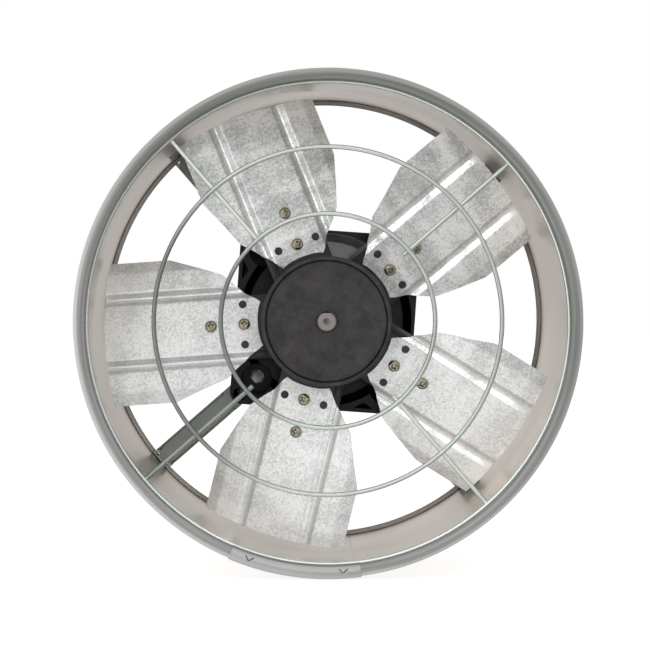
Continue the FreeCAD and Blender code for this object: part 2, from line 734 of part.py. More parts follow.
def motor_rear_shield():
    """The rear casting: a square flange behind the arms and a round, vented body."""
    body = new_body("motor_rear_shield", housing_place())
    flange_front = "arm_front + arm_sheet"
    square = [rounded_square("housing_half", "housing_corner")]
    across_axis(body, "Pad", flange_front, f"{flange_front} + rear_flange", square)
    outside = [
        ("0", "back_front"),
        ("cavity_radius", "back_front"),
        ("cavity_radius", "arm_front + gap"),
        ("arm_inner - gap", "arm_front + gap"),
        ("arm_inner - gap", flange_front),
        ("rear_body", flange_front),
        ("rear_body", "back_front + back_sheet - rear_round", ("left", "rear_round")),
        ("rear_body - rear_round", "back_front + back_sheet"),
        ("boss_radius", "back_front + back_sheet"),
        ("boss_radius", "boss_rear"),
        ("0", "boss_rear"),
    ]
    turned(body, outside)
    seat_front = "rear_bearing - race_half - seat_edge"
    boss = [
        ("0", seat_front),
        ("boss_radius", seat_front),
        ("boss_radius", "back_front + 1"),
        ("0", "back_front + 1"),
    ]
    turned(body, boss)
    bore = [
        ("0", "arm_front"),
        ("cavity_radius", "arm_front"),
        ("cavity_radius", "back_front"),
        ("boss_radius", "back_front"),
        ("boss_radius", seat_front),
        ("race_outer + press_gap", seat_front),
        ("race_outer + press_gap", "boss_rear - boss_back"),
        ("0", "boss_rear - boss_back"),
    ]
    turned(body, bore, kind="Groove")
    holes = at_corners("bolt_circle", "bolt_hole") + at_corners("screw_circle", "screw_hole")
    across_axis(body, "Pocket", flange_front, f"{flange_front} + rear_flange", circles=holes)
    back = ("back_front", "back_front + back_sheet")
    gland = (on_corner("gland_place"), on_corner("gland_place"), "gland_spigot + gap")
    clamp_hole = ("0", "-capacitor_drop - clamp_hole", "clamp_screw + press_gap")
    clamp_edge = "(capacitor_radius + 2 * gap + clamp_sheet)"
    slot = rectangle(
        "-clamp_half - gap",
        "clamp_half + gap",
        "-capacitor_drop + capacitor_radius",
        f"-capacitor_drop + {clamp_edge}",
    )
    across_axis(body, "Pocket", *back, [slot], [gland, clamp_hole])
    vent = [("vent_circle * cos(vent_turn)", "vent_circle * sin(vent_turn)", "vent_radius")]
    vents = across_axis(body, "Pocket", *back, circles=vent)
    repeat_about_axis(body, [vents], VENTS)


def housing_fasteners():
    """M6 bolts clamp the shields and arms together, and an M5 screw holds each arm's end."""
    rear_face = size("arm_front + arm_sheet + rear_flange")
    floor = size("pocket_floor")
    seat = floor - size("washer_sheet")
    bolts = corner_places(size("bolt_circle"))
    plain = washer(size("bolt_radius + gap"), size("washer_radius"), seat, floor)
    bolt_end = rear_face + size("bolt_end")
    bolt = hex_screw(size("bolt_radius"), size("bolt_flats"), size("bolt_head"), seat, bolt_end)
    add_shape("through_washers", copies(plain, bolts))
    add_shape("through_bolts", copies(bolt, bolts))
    add_shape("through_nuts", copies(bolt_nut(rear_face), bolts))
    screws = corner_places(size("screw_circle"))
    add_shape("corner_screws", copies(m5_screw(floor, rear_face), screws))
    add_shape("corner_nuts", copies(m5_nut(rear_face), screws))


# The bearings


def bearing(name, middle):
    """A deep groove ball bearing: two races, a ring of balls and the cage that spaces them."""
    outer_shoulder = "(ball_circle + shoulder)"
    inner_shoulder = "(ball_circle - shoulder)"
    mouth = "sqrt(groove_radius^2 - shoulder^2)"
    low, high = f"{middle} - race_half", f"{middle} + race_half"
    groove = ("right", "groove_radius")
    turned(
        new_body(f"{name}_bearing_outer_race"),
        [
            (outer_shoulder, low),
            ("race_outer", low),
            ("race_outer", high),
            (outer_shoulder, high),
            (outer_shoulder, f"{middle} + {mouth}", groove),
            (outer_shoulder, f"{middle} - {mouth}"),
        ],
    )
    turned(
        new_body(f"{name}_bearing_inner_race"),
        [
            ("race_bore", low),
            (inner_shoulder, low),
            (inner_shoulder, f"{middle} - {mouth}", groove),
            (inner_shoulder, f"{middle} + {mouth}"),
            (inner_shoulder, high),
            ("race_bore", high),
        ],
    )
    centre, circle = Vector(0, size(middle), 0), size("ball_circle")
    ways = [about_axis(360 / BALLS * ball).multVec(Vector(1, 0, 0)) for ball in range(BALLS)]
    balls = [Part.makeSphere(size("ball_radius"), centre + way * circle) for way in ways]
    add_shape(f"{name}_bearing_balls", Part.makeCompound(balls))
    inner, half = circle - size("cage_sheet / 2"), size("cage_half")
    ring = washer(inner, inner + size("cage_sheet"), centre.y - half, centre.y + half)
    pockets = [Part.makeCylinder(size("groove_radius"), 2 * circle, centre, way) for way in ways]
    add_shape(f"{name}_bearing_cage", ring.cut(Part.makeCompound(pockets)))


def preload_spring():
    """The wave washer that loads the rear bearing. It is drawn as the flat ring that it fills."""
    outer = "race_outer - seat_edge"
    low, high = "rear_bearing + race_half + gap", "boss_rear - boss_back - gap"
    turned(new_body("preload_spring"), ring_section(f"{outer} - spring_width", outer, low, high))


# The stator and the rotor


def stator_core():
    body = new_body("stator_core", housing_place())
    rings = [("0", "0", "stator_radius"), ("0", "0", "stator_bore")]
    across_axis(body, "Pad", "core_front", "core_rear", circles=rings)
    slot = [
        ("stator_bore - 1", "-slot_mouth"),
        ("slot_inner", "-slot_mouth"),
        ("slot_inner", "-slot_half"),
        ("slot_outer", "-slot_half"),
        ("slot_outer", "slot_half"),
        ("slot_inner", "slot_half"),
        ("slot_inner", "slot_mouth"),
        ("stator_bore - 1", "slot_mouth"),
    ]
    slots = across_axis(body, "Pocket", "core_front", "core_rear", [slot])
    repeat_about_axis(body, [slots], SLOTS)


def stator_windings():
    """The wound coils: a bar in every slot and a rounded bundle of end turns beyond each end."""
    body = new_body("stator_windings", housing_place())
    inner, outer, rounding = "slot_inner", "slot_outer + 1", ("left", "winding_round")
    low, high = "(core_front - winding_turn)", "(core_front - gap)"
    rear_low, rear_high = "(core_rear + gap)", "(core_rear + winding_turn)"
    front_turns = [
        (f"{inner} + winding_round", low),
        (f"{outer} - winding_round", low, rounding),
        (outer, f"{low} + winding_round"),
        (outer, high),
        (inner, high),
        (inner, f"{low} + winding_round", rounding),
    ]
    rear_turns = [
        (inner, rear_low),
        (outer, rear_low),
        (outer, f"{rear_high} - winding_round", rounding),
        (f"{outer} - winding_round", rear_high),
        (f"{inner} + winding_round", rear_high, rounding),
        (inner, f"{rear_high} - winding_round"),
    ]
    turned(body, front_turns)
    half = "(slot_half - winding_gap)"
    bar = rectangle("slot_inner + winding_gap", "slot_outer - winding_gap", f"-{half}", half)
    bars = across_axis(body, "Pad", "core_front - 1", "core_rear + 1", [bar])
    repeat_about_axis(body, [bars], SLOTS)
    turned(body, rear_turns)


def thermal_protector():
    """The small cut-out that is tied to the rear end turns."""
    protector = doc.addObject("Part::Box", "thermal_protector")
    protector.Label = "thermal_protector"
    bind(protector, {"Length": "protector_sheet", "Width": "protector_width"})
    bind(protector, {"Height": "protector_length"})
    base = Vector(size("slot_outer + 1.2"), size("core_rear + 1"), size("-protector_length / 2"))
    place = housing_place()
    protector.Placement = Placement(place.multVec(base), place.Rotation)
    nodes["thermal_protector"] = protector


def rotor_core():
    body = new_body("rotor_core")
    rings = [("0", "0", "rotor_radius"), ("0", "0", "trunk_radius + press_gap")]
    across_axis(body, "Pad", "core_front", "core_rear", circles=rings)
    hole = [("bar_circle", "0", "bar_radius + gap")]
    bars = across_axis(body, "Pocket", "core_front", "core_rear", circles=hole)
    repeat_about_axis(body, [bars], SLOTS)


def rotor_cage():
    """The cast aluminium cage: a bar through every hole of the core and a ring at each end."""
    body = new_body("rotor_cage")
    inner, outer = "end_ring_inner", "end_ring_outer"
    turned(body, ring_section(inner, outer, "core_front - end_ring", "core_front - gap"))
    bar = [("bar_circle", "0", "bar_radius")]
    bars = across_axis(body, "Pad", "core_front - 1", "core_rear + 1", circles=bar)
    repeat_about_axis(body, [bars], SLOTS)
    turned(body, ring_section(inner, outer, "core_rear + gap", "core_rear + end_ring"))


def motor_shaft():
    body = new_body("motor_shaft")
    front_seat, rear_seat = "front_bearing + race_half + gap", "rear_bearing - race_half - gap"
    turned(
        body,
        [
            ("0", "shaft_tip + centre_depth"),
            ("centre_radius", "shaft_tip"),
            ("nose_radius - nose_chamfer", "shaft_tip"),
            ("nose_radius", "shaft_tip + nose_chamfer"),
            ("nose_radius", "front_bearing - race_half - 1"),
            ("seat_radius", "front_bearing - race_half - 1"),
            ("seat_radius", front_seat),
            ("trunk_radius", front_seat),
            ("trunk_radius", rear_seat),
            ("seat_radius", rear_seat),
            ("seat_radius", "shaft_end - 1"),
            ("seat_radius - 1", "shaft_end"),
            ("0", "shaft_end"),
        ],
    )
    flat = rectangle("-nose_radius", "nose_radius", "nose_flat", "nose_radius + 1")
    across_axis(body, "Pocket", "shaft_tip", "nose_flat_end", [flat])


# The hub


def lug_sketch(body, outline, start):
    """A sketch across a lug at a radius from the axis, in the pitched blade frame."""
    turn = Rotation(Vector(0, 0, 1), size("pitch"))
    return new_sketch(body, "YZ_Plane", [outline], (), {"x": "blade_axis", "z": start}, turn)


def hub():
    """The moulded hub: a drum, a core round the bushing and five pitched lugs for the blades."""
    body = new_body("hub", place_about_axis(size("blade_angle")))
    wall_inner = "(hub_radius - hub_wall)"
    bore = "(bushing_radius + press_gap)"
    turned(
        body,
        [
            (bore, "web_front"),
            ("ledge_inner", "web_front"),
            ("ledge_inner", "cap_seat"),
            (wall_inner, "cap_seat"),
            (wall_inner, "hub_front + hub_chamfer"),
            (f"{wall_inner} + hub_chamfer", "hub_front"),
            ("hub_radius - hub_round", "hub_front", ("left", "hub_round")),
            ("hub_radius", "hub_front + hub_round"),
            ("hub_radius", "hub_rear"),
            (wall_inner, "hub_rear"),
            (wall_inner, "hub_web"),
            ("core_radius", "hub_web"),
            ("core_radius", "core_end"),
            (bore, "core_end"),
        ],
    )
    face = "-(blade_stand - blade_sheet - press_gap)"
    profile = [
        (face, "-lug_half"),
        (f"{face} + lug_step", "-lug_half"),
        (f"{face} + lug_step", "-lug_base"),
        ("lug_back", "-lug_base"),
        ("lug_back", "lug_base"),
        (f"{face} + lug_step", "lug_base"),
        (f"{face} + lug_step", "lug_half"),
        (face, "lug_half"),
    ]
    base = lug_sketch(body, profile, "lug_start")
    lug = extrude(body, "Pad", base, "lug_end - lug_start", forward=True)
    repeat_about_axis(body, [lug], BLADES)
    hollow_half = "(lug_half - lug_wall)"
    hollow = rectangle(f"{face} + lug_wall", "lug_back + 1", f"-{hollow_half}", hollow_half)
    start, end = "(hub_radius + lug_wall)", "(lug_end - lug_wall)"
    inside = lug_sketch(body, hollow, start)
    cavity = extrude(body, "Pocket", inside, f"{end} - {start}", forward=True)
    repeat_about_axis(body, [cavity], BLADES)
    turn = Rotation(Vector(1, 0, 0), size("pitch"))
    on_face = {"y": f"{face} * sin(pitch)", "z": f"-blade_axis - {face} * cos(pitch)"}
    pegs = [("peg_place", side, "peg_radius") for side in PEG_SIDES]
    peg_sketch = new_sketch(body, "XZ_Plane", (), pegs, on_face, turn)
    peg = extrude(body, "Pad", peg_sketch, "peg_height", forward=True)
    repeat_about_axis(body, [peg], BLADES)
    holes = [(place, "0", "screw_hole") for place in BLADE_SCREWS]
    hole_sketch = new_sketch(body, "XZ_Plane", (), holes, on_face, turn)
    hole = extrude(body, "Pocket", hole_sketch, "lug_wall + 1", forward=False)
    repeat_about_axis(body, [hole], BLADES)


def hub_cap():
    """The plain disc that closes the front of the hub round the shaft."""
    body = new_body("hub_cap")
    outer = "(hub_radius - hub_wall - cap_play)"
    turned(
        body,
        [
            ("cap_bore", "cap_seat - cap_sheet"),
            (f"{outer} - cap_round", "cap_seat - cap_sheet", ("left", "cap_round")),
            (outer, "cap_seat - cap_sheet + cap_round"),
            (outer, "cap_seat - gap"),
            ("cap_bore", "cap_seat - gap"),
        ],
    )


def hub_bushing():
    """The steel bushing that carries the hub on the shaft's flat."""
    body = new_body("hub_bushing")
    turned(body, ring_section("nose_radius + press_gap", "bushing_radius", "web_front", "bushing_end"))
    sketch = new_sketch(body, "XY_Plane", (), [("0", "set_screw_depth", "set_screw + press_gap")])
    extrude(body, "Pocket", sketch, "bushing_radius + 1", forward=True)


def hub_set_screw():
    """The socket set screw that bears on the shaft's flat."""
    body = new_body("hub_set_screw")
    foot = {"z": "nose_flat + gap"}
    sketch = new_sketch(body, "XY_Plane", (), [("0", "set_screw_depth", "set_screw")], foot)
    extrude(body, "Pad", sketch, "bushing_radius - nose_flat - gap - set_sink", forward=True)
    deep = {"z": "bushing_radius - set_screw"}
    socket = new_sketch(body, "XY_Plane", (), [("0", "set_screw_depth", "set_socket")], deep)
    extrude(body, "Pocket", socket, "set_screw", forward=True)


# The blades


def blade(index):
    """A pressed sheet: two lengthwise grooves, edge strips that fall back, and a tapered root."""
    body = new_body(f"blade_{index + 1}", blade_place(index))
    front = "-blade_stand"
    groove_foot = "(groove_middle - groove_half)"
    groove_edge = "(groove_middle + groove_half)"
    upper = [
        (front, groove_foot),
        (f"{front} + groove_depth", "groove_middle"),
        (front, groove_edge),
        (front, "edge_strip"),
        (f"{front} + edge_fall", "blade_half"),
    ]
    front_line = [(depth, f"-{place}") for depth, place in reversed(upper)] + upper
    rear_line = [(f"{depth} + blade_sheet", place) for depth, place in reversed(front_line)]
    section = new_sketch(body, "YZ_Plane", [front_line + rear_line], (), {"z": "blade_root - 8"})
    extrude(body, "Pad", section, "blade_tip - blade_root + 9", forward=True)
    side = [
        ("blade_root - 1.5", "root_half - 3"),
        ("blade_root", "root_half"),
        ("neck_place", "neck_half"),
        ("shoulder_place", "shoulder_half"),
        ("full_place", "blade_half"),
        ("tip_corner", "blade_half"),
    ]
    tip_rise = "(blade_tip - tip_corner)"
    tip_arc = ("right", f"(blade_half^2 + {tip_rise}^2) / (2 * {tip_rise})")
    root_arc = ("left", "blade_root")
    leading = side[:-1] + [(*side[-1], tip_arc)]
    trailing = [(x, f"-({z})") for x, z in reversed(side)]
    trailing = trailing[:-1] + [(*trailing[-1], root_arc)]
    frame = rectangle("blade_root - 20", "blade_tip + 20", "-blade_half - 20", "blade_half + 20")
    holes = [("peg_place", side, "peg_radius + 3 * gap") for side in PEG_SIDES]
    holes += [(place, "0", "screw_hole") for place in BLADE_SCREWS]
    trim = new_sketch(body, "XZ_Plane", [frame, leading + trailing], holes, {"z": "blade_stand + 10"})
    extrude(body, "Pocket", trim, "30", forward=False)


def blade_fasteners():
    """M5 pan head screws through blade and lug, with a nut inside the lug."""
    front = -size("blade_stand")
    lug_rear = front + size("blade_sheet + press_gap + lug_wall")
    along = [Placement(Vector(size(place), 0, 0), Rotation()) for place in BLADE_SCREWS]
    places = [blade_place(index).multiply(place) for index in range(BLADES) for place in along]
    add_shape("blade_screws", copies(m5_screw(front, lug_rear), places))
    add_shape("blade_nuts", copies(m5_nut(lug_rear), places))


# The electrical pieces behind the motor


def capacitor():
    """The run capacitor, lying across the motor's back with its terminals at one end."""
    body = new_body("capacitor", housing_place())
    circle = [("capacitor_depth", "-capacitor_drop", "capacitor_radius")]
    can = new_sketch(body, "YZ_Plane", (), circle, {"z": "-capacitor_half"})
    extrude(body, "Pad", can, "2 * capacitor_half", forward=True)
    near, far = "capacitor_depth - tab_width / 2", "capacitor_depth + tab_width / 2"
    middles = ("-capacitor_drop + tab_place", "-capacitor_drop - tab_place")
    tabs = [rectangle(near, far, f"{z} - tab_sheet / 2", f"{z} + tab_sheet / 2") for z in middles]
    tab_sketch = new_sketch(body, "YZ_Plane", tabs, (), {"z": "capacitor_half - tab_sheet"})
    extrude(body, "Pad", tab_sketch, "tab_length + tab_sheet", forward=True)


def capacitor_clamp():
    """The strap over the capacitor: one end sits in a slot of the motor's back, one has a screw."""
    body = new_body("capacitor_clamp", housing_place())
    middle, drop = "capacitor_depth", "-capacitor_drop"
    inside, outside = "(capacitor_radius + gap)", "(capacitor_radius + gap + clamp_sheet)"
    face = "back_front + back_sheet + gap"
    foot = f"{face} + clamp_sheet"
    over, back = ("left", inside), ("right", outside)
    strap = [
        (face, f"{drop} - clamp_foot"),
        (face, f"{drop} - {inside}"),
        (middle, f"{drop} - {inside}", over),
        (f"{middle} + {inside}", drop, over),
        (middle, f"{drop} + {inside}"),
        ("back_front", f"{drop} + {inside}"),
        ("back_front", f"{drop} + {outside}"),
        (middle, f"{drop} + {outside}", back),
        (f"{middle} + {outside}", drop, back),
        (middle, f"{drop} - {outside}"),
        (foot, f"{drop} - {outside}"),
        (foot, f"{drop} - clamp_foot"),
    ]
    sketch = new_sketch(body, "YZ_Plane", [strap], (), {"z": "-clamp_half"})
    extrude(body, "Pad", sketch, "2 * clamp_half", forward=True)
    hole = [("0", f"{drop} - clamp_hole", "clamp_screw + gap")]
    across_axis(body, "Pocket", face, foot, circles=hole)


def clamp_screw():
    """The screw of the clamp's foot, whose head is at the rear."""
    seat = size("back_front + back_sheet + gap + clamp_sheet")
    end = size("back_front - 1")
    screw = pan_screw(size("clamp_screw"), size("clamp_head"), size("clamp_height"), -seat, -end)
    spot = Vector(0, 0, size("-capacitor_drop - clamp_hole"))
    rearward = Placement(spot, Rotation(Vector(0, 0, 1), 180))
    add_shape("clamp_screw", screw, housing_place().multiply(rearward))


def cable_gland():
    """The hexagonal gland in which the cable leaves the motor."""
    body = new_body("cable_gland", housing_place())
    middle = on_corner("gland_place")
    face = "back_front + back_sheet + gap"
    corners = []
    for angle in range(0, 360, 60):
        across, up = f"gland_hexagon * cos({angle})", f"gland_hexagon * sin({angle})"
        corners.append((f"{middle} + {across}", f"{middle} + {up}"))
    dome, spigot = [(middle, middle, "gland_dome")], [(middle, middle, "gland_spigot")]
    end = f"{face} + gland_length"
    across_axis(body, "Pad", face, f"{face} + gland_flange", [corners])
    across_axis(body, "Pad", f"{face} + gland_flange - 1", end, circles=dome)
    across_axis(body, "Pad", "back_front", f"{face} + 1", circles=spigot)
    bore = [(middle, middle, "cable_radius + gap")]
    across_axis(body, "Pocket", "back_front", end, circles=bore)


def power_cable():
    """The cable: out of the gland, over the motor's corner and along the first arm's channel."""
    body = new_body("power_cable", place_about_axis(cross_angle(0)))
    start = "back_front"
    crest = "gland_place + cable_turn + cable_crest"
    fall = "cable_bend * (1 - cos(cable_slope))"
    reach = "cable_bend * sin(cable_slope)"
    steep = f"(cable_top - cable_run - 2 * {fall}) / tan(cable_slope)"
    steep_end = f"({crest} + {reach} + {steep})"
    circle = [("gland_place", "0", "cable_radius")]
    profile = new_sketch(body, "XZ_Plane", (), circle, {"z": f"-({start})"})
    spine = body.newObject("Sketcher::SketchObject", "Spine")
    spine.AttachmentSupport = [(origin_feature(body, "XY_Plane"), "")]
    spine.MapMode = "FlatFace"
    path = [
        ("gland_place", start, None),
        ("gland_place", "cable_top - cable_turn", ("right", "cable_turn")),
        ("gland_place + cable_turn", "cable_top", None),
        (crest, "cable_top", ("right", "cable_bend")),
        (f"{crest} + {reach}", f"cable_top - {fall}", None),
        (steep_end, f"cable_run + {fall}", ("left", "cable_bend")),
        (f"{steep_end} + {reach}", "cable_run", None),
        ("cable_end", "cable_run", None),
    ]
    for (x, y, arc), (next_x, next_y, _) in zip(path, path[1:]):
        begin, finish = (Vector(size(a), size(b), 0) for a, b in ((x, y), (next_x, next_y)))
        if arc:
            spine.addGeometry(arc_between(begin, finish, size(arc[1]), arc[0] == "left"))
        else:
            spine.addGeometry(Part.LineSegment(begin, finish))
    pipe = body.newObject("PartDesign::AdditivePipe", "Pipe")
    pipe.Profile = profile
    pipe.Spine = (spine, [f"Edge{edge + 1}" for edge in range(spine.GeometryCount)])


def cable_cores():
    """The three cores at the cable's cut end."""
    start, length, radius = size("cable_end + gap"), size("core_length"), size("core_wire")
    along = Vector(1, 0, 0)
    cores = []
    for angle in range(0, 360, 120):
        middle = Rotation(along, angle).multVec(Vector(start, size("core_spread"), 0))
        middle.y += size("cable_run")
        cores.append(Part.makeCylinder(radius, length, middle, along))
    add_shape("cable_cores", Part.makeCompound(cores), place_about_axis(cross_angle(0)))


def cable_ties():
    """Two ties round the first arm and the cable in its channel, each with its head at the rear."""
    front, rear = size("arm_front - gap"), size("cable_run + cable_radius + gap")
    half, thick, width = size("arm_width / 2 + gap"), size("tie_sheet"), size("tie_width")
    head = size("tie_head")
    outer = Vector(0, front - thick, -half - thick)
    band = Part.makeBox(width, rear - front + 2 * thick, 2 * (half + thick), outer)
    band = band.cut(Part.makeBox(width, rear - front, 2 * half, Vector(0, front, -half)))
    block = Part.makeBox(head, head, head, Vector((width - head) / 2, rear, -head / 2))
    tie = band.fuse(block).removeSplitter()
    places = [Placement(Vector(size(place), 0, 0), Rotation()) for place in ("tie_inner", "tie_outer")]
    add_shape("cable_ties", copies(tie, places), place_about_axis(cross_angle(0)))


def build():
    duct_shell()
    rim_joint_strap()
    guard()
    for index in range(ARMS):
        motor_arm(index)
    motor_front_shield()
    motor_rear_shield()
    housing_fasteners()
    bearing("front", "front_bearing")
    bearing("rear", "rear_bearing")
    preload_spring()
    stator_core()
    stator_windings()
    thermal_protector()
    rotor_core()
    rotor_cage()
    motor_shaft()
    hub()
    hub_cap()
    hub_bushing()
    hub_set_screw()
    for index in range(BLADES):
        blade(index)
    blade_fasteners()
    capacitor()
    capacitor_clamp()
    clamp_screw()
    cable_gland()
    power_cable()
    cable_cores()
    cable_ties()
    doc.recompute()


def check():
    """Stops on any object that failed to build, and on any piece that isn't sound."""
    failed = [item.Name for item in doc.Objects if {"Invalid", "Error"} & set(item.State)]
    unsound = [name for name, item in nodes.items() if item.Shape.isNull() or not item.Shape.isValid()]
    if failed or unsound:
        raise RuntimeError(f"failed objects: {failed}; unsound pieces: {unsound}")


def export():
    os.makedirs("parts", exist_ok=True)
    for name, item in nodes.items():
        item.Shape.exportStep(f"parts/{name}.step")


build()
check()
export()
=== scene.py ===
import json
import math

import bmesh
import bpy
import numpy as np
from mathutils import Matrix, Vector


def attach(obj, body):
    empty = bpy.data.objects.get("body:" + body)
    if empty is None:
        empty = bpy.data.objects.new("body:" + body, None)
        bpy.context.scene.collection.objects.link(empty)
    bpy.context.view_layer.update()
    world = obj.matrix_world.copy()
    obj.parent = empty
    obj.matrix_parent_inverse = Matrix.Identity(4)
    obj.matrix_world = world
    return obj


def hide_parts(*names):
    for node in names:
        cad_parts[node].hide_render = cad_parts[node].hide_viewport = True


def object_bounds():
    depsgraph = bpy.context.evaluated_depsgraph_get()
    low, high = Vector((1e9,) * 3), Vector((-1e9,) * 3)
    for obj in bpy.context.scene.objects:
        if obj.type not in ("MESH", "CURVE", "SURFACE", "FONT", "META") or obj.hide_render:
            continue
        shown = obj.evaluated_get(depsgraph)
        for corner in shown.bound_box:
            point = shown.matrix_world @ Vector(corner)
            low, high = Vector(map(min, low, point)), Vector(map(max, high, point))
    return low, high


# The looks of a ducted exhaust fan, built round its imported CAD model. Lengths in the tables and
# in the mesh code are millimetres and angles are degrees, counter-clockwise round the fan's axis
# (+Y, from the guard to the motor) for someone who faces the guard, from +X.

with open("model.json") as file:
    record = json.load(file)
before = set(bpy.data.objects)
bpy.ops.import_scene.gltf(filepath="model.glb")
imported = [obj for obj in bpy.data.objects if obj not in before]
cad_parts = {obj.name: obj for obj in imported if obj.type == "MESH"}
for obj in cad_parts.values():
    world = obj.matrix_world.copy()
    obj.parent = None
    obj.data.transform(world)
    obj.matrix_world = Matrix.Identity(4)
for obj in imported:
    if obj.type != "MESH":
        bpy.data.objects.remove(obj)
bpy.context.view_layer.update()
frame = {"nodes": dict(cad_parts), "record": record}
SLOTS = {part["node"]: part["material_slot"] for part in frame["record"]["subparts"]}
MM = 0.001

# What shapes and finishes share: the angles of the first arm and the first blade, the blades'
# depth and pitch, the duct's bead, wall and lip, the arms' spot welds, the guard's wire, the
# motor's bowl and the blades' grooves and edge strips

CROSS_ANGLE, BLADE_ANGLE = 41.0, 40.0
BLADE_AXIS, PITCH = 74.4, 20.5
TUBE, TUBE_DEPTH, TUBE_RADIUS, SHEET = 195.0, -5.0, 5.0, 1.2
WALL, DUCT_REAR, LIP_INNER, LIP_BEND = 192.0, 160.0, 188.0, 2.0
SPOT_DEPTHS = (127.0, 142.0)
WIRE, GUARD_DEPTH, GUARD_RISE = 3.6, -0.15, 1.5
BOWL_RADIUS = 73.4
GROOVE_MIDDLE, GROOVE_HALF, EDGE_STRIP = 29.3, 6.0, 52.0


# Mesh helpers

# The angle of a sharp edge, the least span of angles that goes all round, a drum's sides
SHARP, FULL_SPAN, DRUM_SIDES = 35, 340, 32


def about_axis(angle):
    """The turn round the fan's axis that brings +X to this angle."""
    return Matrix.Rotation(-math.radians(angle), 4, "Y")


def blade_frame(index):
    """+X along the blade, +Z across it, -Y out of its front face, in metres."""
    lift = Matrix.Translation((0, BLADE_AXIS * MM, 0))
    return lift @ about_axis(BLADE_ANGLE + 72 * index) @ Matrix.Rotation(math.radians(PITCH), 4, "X")


def smooth(low, high, value):
    """0 below low, 1 above high and a smooth rise between them."""
    t = np.clip((np.asarray(value, float) - low) / (high - low), 0, 1)
    return t * t * (3 - 2 * t)


def bell(distance, width):
    """A bump of height 1 round distance 0."""
    return np.exp(-((np.asarray(distance, float) / width) ** 2))


def arc(x, y, radius, start, end, steps):
    """Points along an arc, from one angle to another."""
    angles = np.radians(np.linspace(start, end, steps))
    return list(zip(x + radius * np.cos(angles), y + radius * np.sin(angles)))


def line(start, end, steps):
    """Points along a straight line, without its last one."""
    shares = np.linspace(0, 1, steps, endpoint=False)
    return [(start[0] + (end[0] - start[0]) * t, start[1] + (end[1] - start[1]) * t) for t in shares]


def grid(points, uv=None, wrap_rows=False, wrap_columns=False):
    """Vertices, quads and UVs of a grid of points, an array of rows by columns by 3."""
    rows, columns = points.shape[:2]
    index = np.arange(rows * columns).reshape(rows, columns)
    if wrap_rows:
        index = np.vstack([index, index[:1]])
    if wrap_columns:
        index = np.hstack([index, index[:, :1]])
    corners = [index[:-1, :-1], index[1:, :-1], index[1:, 1:], index[:-1, 1:]]
    quads = np.stack(corners, -1).reshape(-1, 4)
    if uv is None:
        return points.reshape(-1, 3), quads, None
    corners = [uv[:-1, :-1], uv[1:, :-1], uv[1:, 1:], uv[:-1, 1:]]
    return points.reshape(-1, 3), quads, np.stack(corners, 2).reshape(-1, 2)


def mesh_from(name, vertices, faces, uvs=None, sharp=SHARP):
    """A mesh in metres with outward normals, smooth but for edges sharper than an angle."""
    mesh = bpy.data.meshes.new(name)
    mesh.from_pydata((np.asarray(vertices) * MM).tolist(), [], [list(face) for face in faces])
    if uvs is not None:
        layer = mesh.uv_layers.new(name="UVMap")
        layer.data.foreach_set("uv", (np.asarray(uvs) * MM).astype(np.float32).ravel())
    tidy(mesh, sharp)
    return mesh


def shade(mesh, sharp=SHARP):
    """Smooth shading but for edges sharper than an angle."""
    mesh.shade_smooth()
    mesh.set_sharp_from_angle(angle=math.radians(sharp))


def tidy(mesh, sharp=SHARP):
    """Welds doubled points, turns the normals outward and shades the mesh."""
    work = bmesh.new()
    work.from_mesh(mesh)
    bmesh.ops.remove_doubles(work, verts=work.verts, dist=1e-6)
    bmesh.ops.recalc_face_normals(work, faces=work.faces)
    work.to_mesh(mesh)
    work.free()
    shade(mesh, sharp)


def added(name, data):
    """A new object in the scene."""
    item = bpy.data.objects.new(name, data)
    bpy.context.scene.collection.objects.link(item)
    return item


def piece(name, mesh, slot, body, nodes, matrix=None):
    """A visible piece that stands for CAD nodes and rides on a body."""
    item = added(name, mesh)
    if matrix is not None:
        mesh.transform(matrix)
    item.data.materials.append(MATERIALS[slot])
    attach(item, body)
    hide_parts(*nodes)
    return item


def copies(name, shape, places, slot, body, node):
    """One piece from copies of a mesh."""
    work = bmesh.new()
    for place in places:
        copy = shape.copy()
        copy.transform(place)
        work.from_mesh(copy)
        bpy.data.meshes.remove(copy)
    mesh = bpy.data.meshes.new(name)
    work.to_mesh(mesh)
    work.free()
    shade(mesh)
    piece(name, mesh, slot, body, [node])


def cut_away(mesh, cutters):
    """The mesh less the cutters' meshes."""
    target = added("target", mesh)
    tools = []
    for cutter in cutters:
        tool = added("tool", cutter)
        modifier = target.modifiers.new("cut", "BOOLEAN")
        modifier.object = tool
        modifier.operation = "DIFFERENCE"
        modifier.solver = "EXACT"
        tools.append(tool)
    bpy.context.view_layer.update()
    evaluated = target.evaluated_get(bpy.context.evaluated_depsgraph_get())
    result = bpy.data.meshes.new_from_object(evaluated)
    for item in [target, *tools]:
        bpy.data.objects.remove(item)
    return result


def drum(radius, low, high, place):
    """A closed round bar between two depths, along Y, round a place given as (along, across)."""
    angles = np.linspace(0, 360, DRUM_SIDES, endpoint=False)
    profile = [(0, low), (radius, low), (radius, high), (0, high)]
    return revolved("drum", profile, angles, centre=place)


